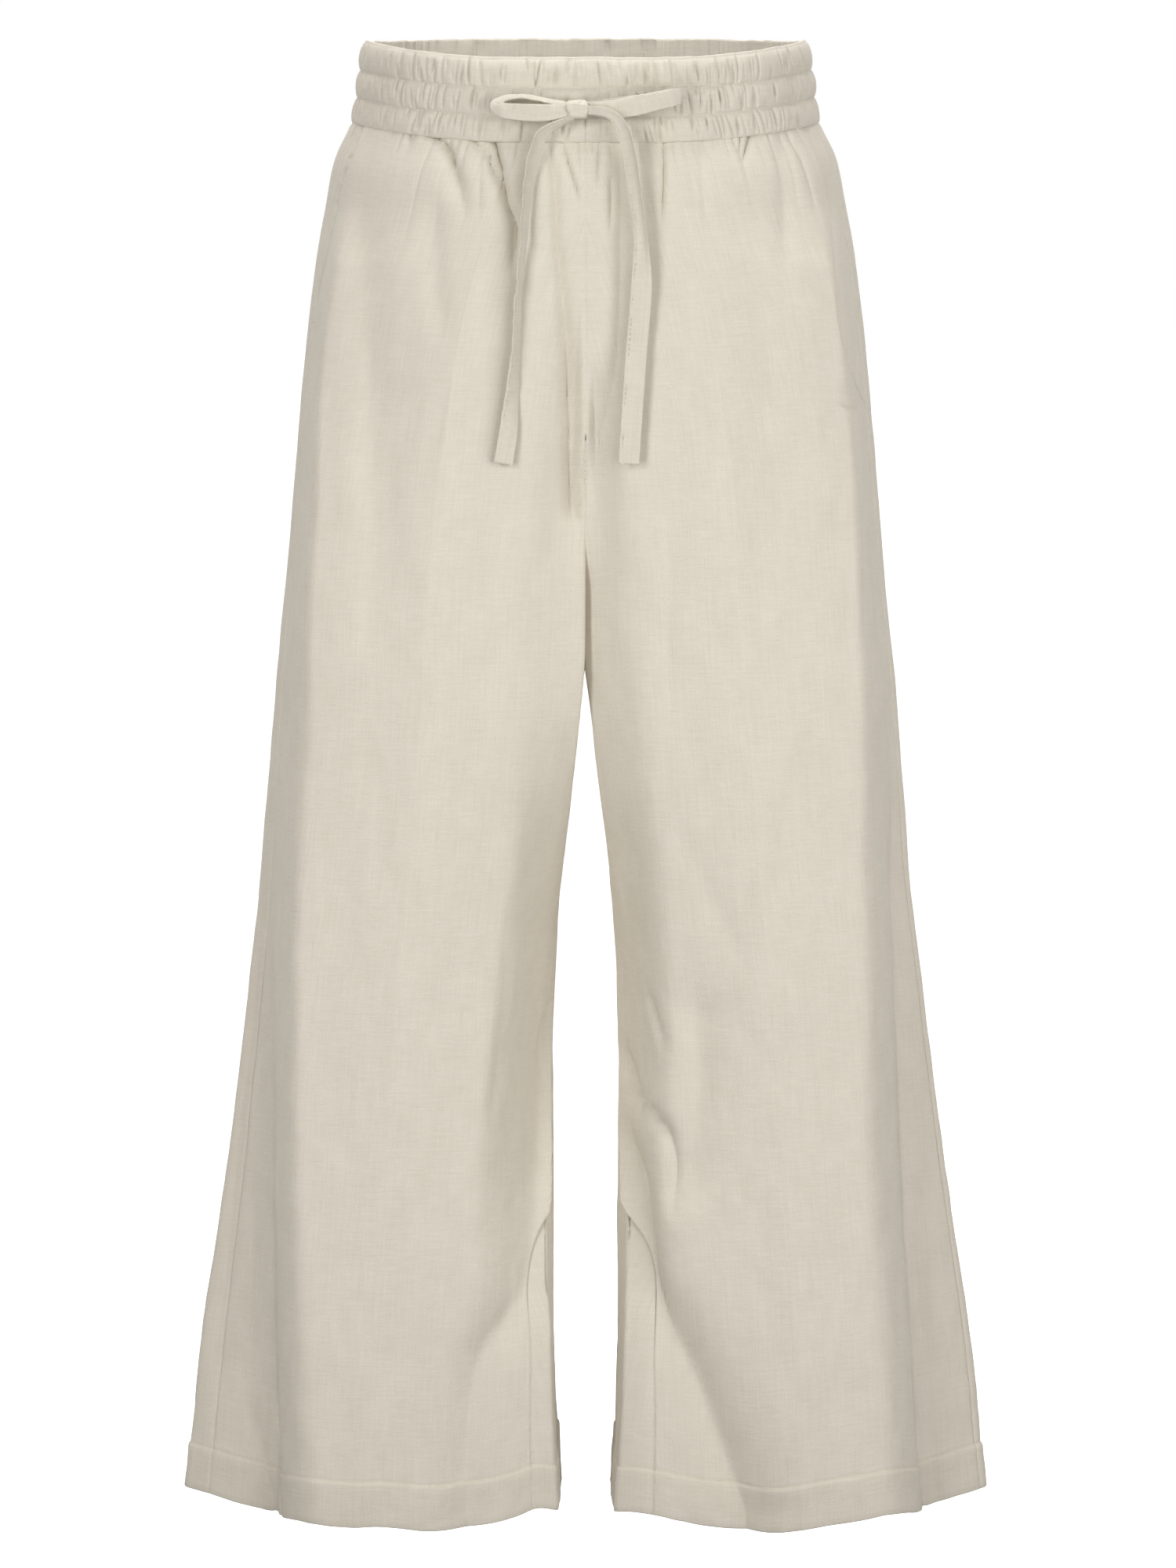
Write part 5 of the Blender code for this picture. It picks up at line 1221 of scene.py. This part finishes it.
knot = build_knot()
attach(knot, "root")
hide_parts("drawstring_knot")
STRIPS = {
    "tail_left": (TAIL_LEFT, 150, 211),
    "tail_right": (TAIL_RIGHT, 150, 223),
    "loop_left": (LOOP_LEFT, 110, 235),
    "loop_right": (LOOP_RIGHT, 120, 247),
}
for name, (route, count, seed) in STRIPS.items():
    route = tucked(route, (0,) if name.startswith("tail") else (0, -1))
    made, line, length = build_strip(f"linen_{name}", route, count, seed)
    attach(made, "root")
    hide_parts(f"drawstring_{name}")

# ---------------------------------------------------------------------------------------------------------------
# Stitches: the hems, the lines between the channels and the drawstring's edges

STITCH, GAP, THREAD = 0.24, 0.07, 0.017


def stitch_line(points, outward, seed):
    """Rows of points for small stitches along a line in cm: one closed, pointed bead for each stitch."""
    steps = np.linalg.norm(np.diff(points, axis=0), axis=1)
    way = np.concatenate([[0], np.cumsum(steps)])
    chance = np.random.default_rng(seed)
    starts = np.arange(0.05, way[-1] - STITCH, STITCH + GAP)
    starts = starts + chance.uniform(-0.02, 0.02, len(starts))
    around, rings = 5, (0.0, 0.12, 0.5, 0.88, 1.0)
    angle = np.linspace(0, 2 * np.pi, around, endpoint=False)
    made = []
    for start in starts:
        long = STITCH * chance.uniform(0.90, 1.05)
        at = start + long * np.array(rings)
        middle = np.stack([np.interp(at, way, points[:, k]) for k in range(3)], axis=-1)
        out = np.stack([np.interp(at, way, outward[:, k]) for k in range(3)], axis=-1)
        out /= np.linalg.norm(out, axis=1)[:, None]
        heading = middle[-1] - middle[0]
        heading /= np.linalg.norm(heading) + 1e-9
        side = np.cross(heading, out)
        side /= np.linalg.norm(side, axis=1)[:, None] + 1e-9
        middle = middle + side * chance.uniform(-0.008, 0.008)
        sunk = np.array([-0.022, -0.004, 0.010, -0.004, -0.022])
        size = THREAD * np.array([0.25, 0.85, 1.0, 0.85, 0.25])
        ring = (
            (middle + out * sunk[:, None])[:, None, :]
            + side[:, None, :] * (np.cos(angle)[None, :] * size[:, None])[..., None]
            + out[:, None, :] * (np.sin(angle)[None, :] * size[:, None])[..., None]
        )
        made.append(ring.reshape(-1, 3))
    return made


def build_stitches(name, lines):
    beads = [bead for k, (points, outward) in enumerate(lines) for bead in stitch_line(points, outward, 500 + k)]
    around, rows = 5, 4
    one = grid_quads(rows, around, ring=True)
    count = (rows + 1) * around
    quads = np.concatenate([one + k * count for k in range(len(beads))])
    first, last = np.arange(around), np.arange(around) + rows * around
    caps = [(first[0], first[j + 1], first[j]) for j in range(1, around - 1)]
    caps += [(last[0], last[j], last[j + 1]) for j in range(1, around - 1)]
    caps = np.concatenate([np.array(caps) + k * count for k in range(len(beads))])
    points = np.concatenate(beads) * CM
    flat = points[:, [0, 2]]
    made = make_mesh(name, points, quads, thread_material, flat, caps)
    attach(made, "root")
    return made


hem_lines = []
for half in ("left", "right"):
    line_drop = HEM_DROP - HEM_TURN
    whole = float(girth(half, 4.0, line_drop))
    start = float(girth(half, seam_turn(half, "in", line_drop), line_drop))
    row = int(np.searchsorted(DROPS, line_drop))
    turn = np.interp(np.linspace(start + 0.1, start + whole - 0.1, 900), GIRTHS[half][row], TURNS)
    drop = np.full(len(turn), line_drop)
    line = cloth(half, turn, drop, out=-0.024) / CM
    above = cloth(half, turn, drop, out=0.5) / CM
    hem_lines.append((line, above - line))
build_stitches("stitches_hems", hem_lines)

channel_lines = []
for share in CHANNELS:
    way = np.linspace(0, 2 * HALF_GIRTH, 2200)
    left, turn = band_place(way)
    drop = WAIST_TOP + (WAIST_SEAM + 0.02 - WAIST_TOP) * share + 0.035 * crumple(way / 0.7, np.zeros(len(way)), 93)
    out = band_relief(way, np.full(len(way), share)) + 0.06
    line, above = np.empty((len(way), 3)), np.empty((len(way), 3))
    for is_left, half in ((True, "left"), (False, "right")):
        keep = left == is_left
        line[keep] = band_seat(half, turn[keep], drop[keep], out[keep]) / CM
        above[keep] = band_seat(half, turn[keep], drop[keep], out[keep] + 0.5) / CM
    channel_lines.append((line, above - line))
build_stitches("stitches_channels", channel_lines)

edge_lines = []
for name in ("tail_left", "tail_right"):
    route = tucked(STRIPS[name][0], (0,))
    line, side, face, width, cup, at = strip_frames(route, 150)
    share = 0.72
    lift = cup * (share**1.6 - 0.3) * width * 0.5
    for direction in (1, -1):
        middle = line + side * (share * 0.5 * width * (1 - 0.18 * np.abs(cup)))[:, None]
        middle = middle + face * (lift + direction * 0.062)[:, None]
        edge_lines.append((middle[4:-4], (face * direction)[4:-4]))
build_stitches("stitches_drawstring", edge_lines)

# ---------------------------------------------------------------------------------------------------------------
# Stage, light and camera

FLOOR = -1.30
bpy.ops.mesh.primitive_circle_add(vertices=96, radius=60, fill_type="NGON", location=(0, 0, FLOOR))
floor = bpy.context.object
floor.name = "floor"
pale = bpy.data.materials.new("pale_floor")
pale.use_nodes = True
pale_shader = pale.node_tree.nodes["Principled BSDF"]
pale_shader.inputs["Base Color"].default_value = (0.9, 0.9, 0.9, 1)
pale_shader.inputs["Roughness"].default_value = 0.9
pale_shader.inputs["Specular IOR Level"].default_value = 0.0
pale_shader.inputs["Emission Color"].default_value = (1, 1, 1, 1)
pale_shader.inputs["Emission Strength"].default_value = 1.0
floor.data.materials.append(pale)
floor.visible_diffuse = False
floor.visible_glossy = False
floor.visible_shadow = False

world = bpy.data.worlds.new("studio")
bpy.context.scene.world = world
world.use_nodes = True
sky = world.node_tree
sky.nodes.clear()
output = sky.nodes.new("ShaderNodeOutputWorld")
mix = sky.nodes.new("ShaderNodeMixShader")
rays = sky.nodes.new("ShaderNodeLightPath")
fill = sky.nodes.new("ShaderNodeBackground")
seen = sky.nodes.new("ShaderNodeBackground")
fill.inputs["Color"].default_value = (1, 1, 1, 1)
fill.inputs["Strength"].default_value = 0.25
seen.inputs["Color"].default_value = (1, 1, 1, 1)
seen.inputs["Strength"].default_value = 1.0
sky.links.new(rays.outputs["Is Camera Ray"], mix.inputs[0])
sky.links.new(fill.outputs[0], mix.inputs[1])
sky.links.new(seen.outputs[0], mix.inputs[2])
sky.links.new(mix.outputs[0], output.inputs["Surface"])


def softbox(name, azimuth, elevation, distance, size, power, aim=(0, 0, -0.47)):
    light = bpy.data.lights.new(name, "AREA")
    light.shape, light.size, light.size_y = "RECTANGLE", size[0], size[1]
    light.energy = power
    light.color = (1.0, 1.0, 1.0)
    made = bpy.data.objects.new(name, light)
    bpy.context.scene.collection.objects.link(made)
    a, e = math.radians(azimuth), math.radians(elevation)
    back = Vector((math.sin(a) * math.cos(e), -math.cos(a) * math.cos(e), math.sin(e)))
    made.location = Vector(aim) + back * distance
    made.rotation_euler = (-back).to_track_quat("-Z", "Y").to_euler()
    made.visible_camera = False
    return made


softbox("left_high", -34, 15, 2.5, (0.6, 0.8), 17.2, aim=(0, 0, -0.20))
softbox("left_low", -34, 1, 1.5, (0.6, 0.6), 5.9, aim=(0, 0, -0.48))
softbox("right_high", 37, 15, 2.3, (1.9, 1.2), 17.9, aim=(0, 0, -0.20))
softbox("right_low", 37, 1, 1.5, (1.3, 0.6), 7.6, aim=(0, 0, -0.48))
softbox("top", 0, 90, 0.5, (0.5, 0.1), 3.0, aim=(0, -0.05, 0))
softbox("back_left", -140, 20, 3.4, (1.8, 1.8), 36)
softbox("back_right", 145, 20, 3.4, (1.8, 1.8), 32)

camera_data = bpy.data.cameras.new("camera")
camera = bpy.data.objects.new("camera", camera_data)
bpy.context.scene.collection.objects.link(camera)
camera_data.lens = 105.4
camera_data.sensor_width = 36
camera_data.sensor_fit = "AUTO"
camera_data.clip_start, camera_data.clip_end = 0.1, 200
camera.location = (0.0015, -3.0, -0.1202)
camera.rotation_euler = (math.radians(90 - 6.5), 0, 0)
bpy.context.scene.camera = camera
bpy.context.scene.view_settings.view_transform = "Standard"
bpy.context.scene.view_settings.look = "None"
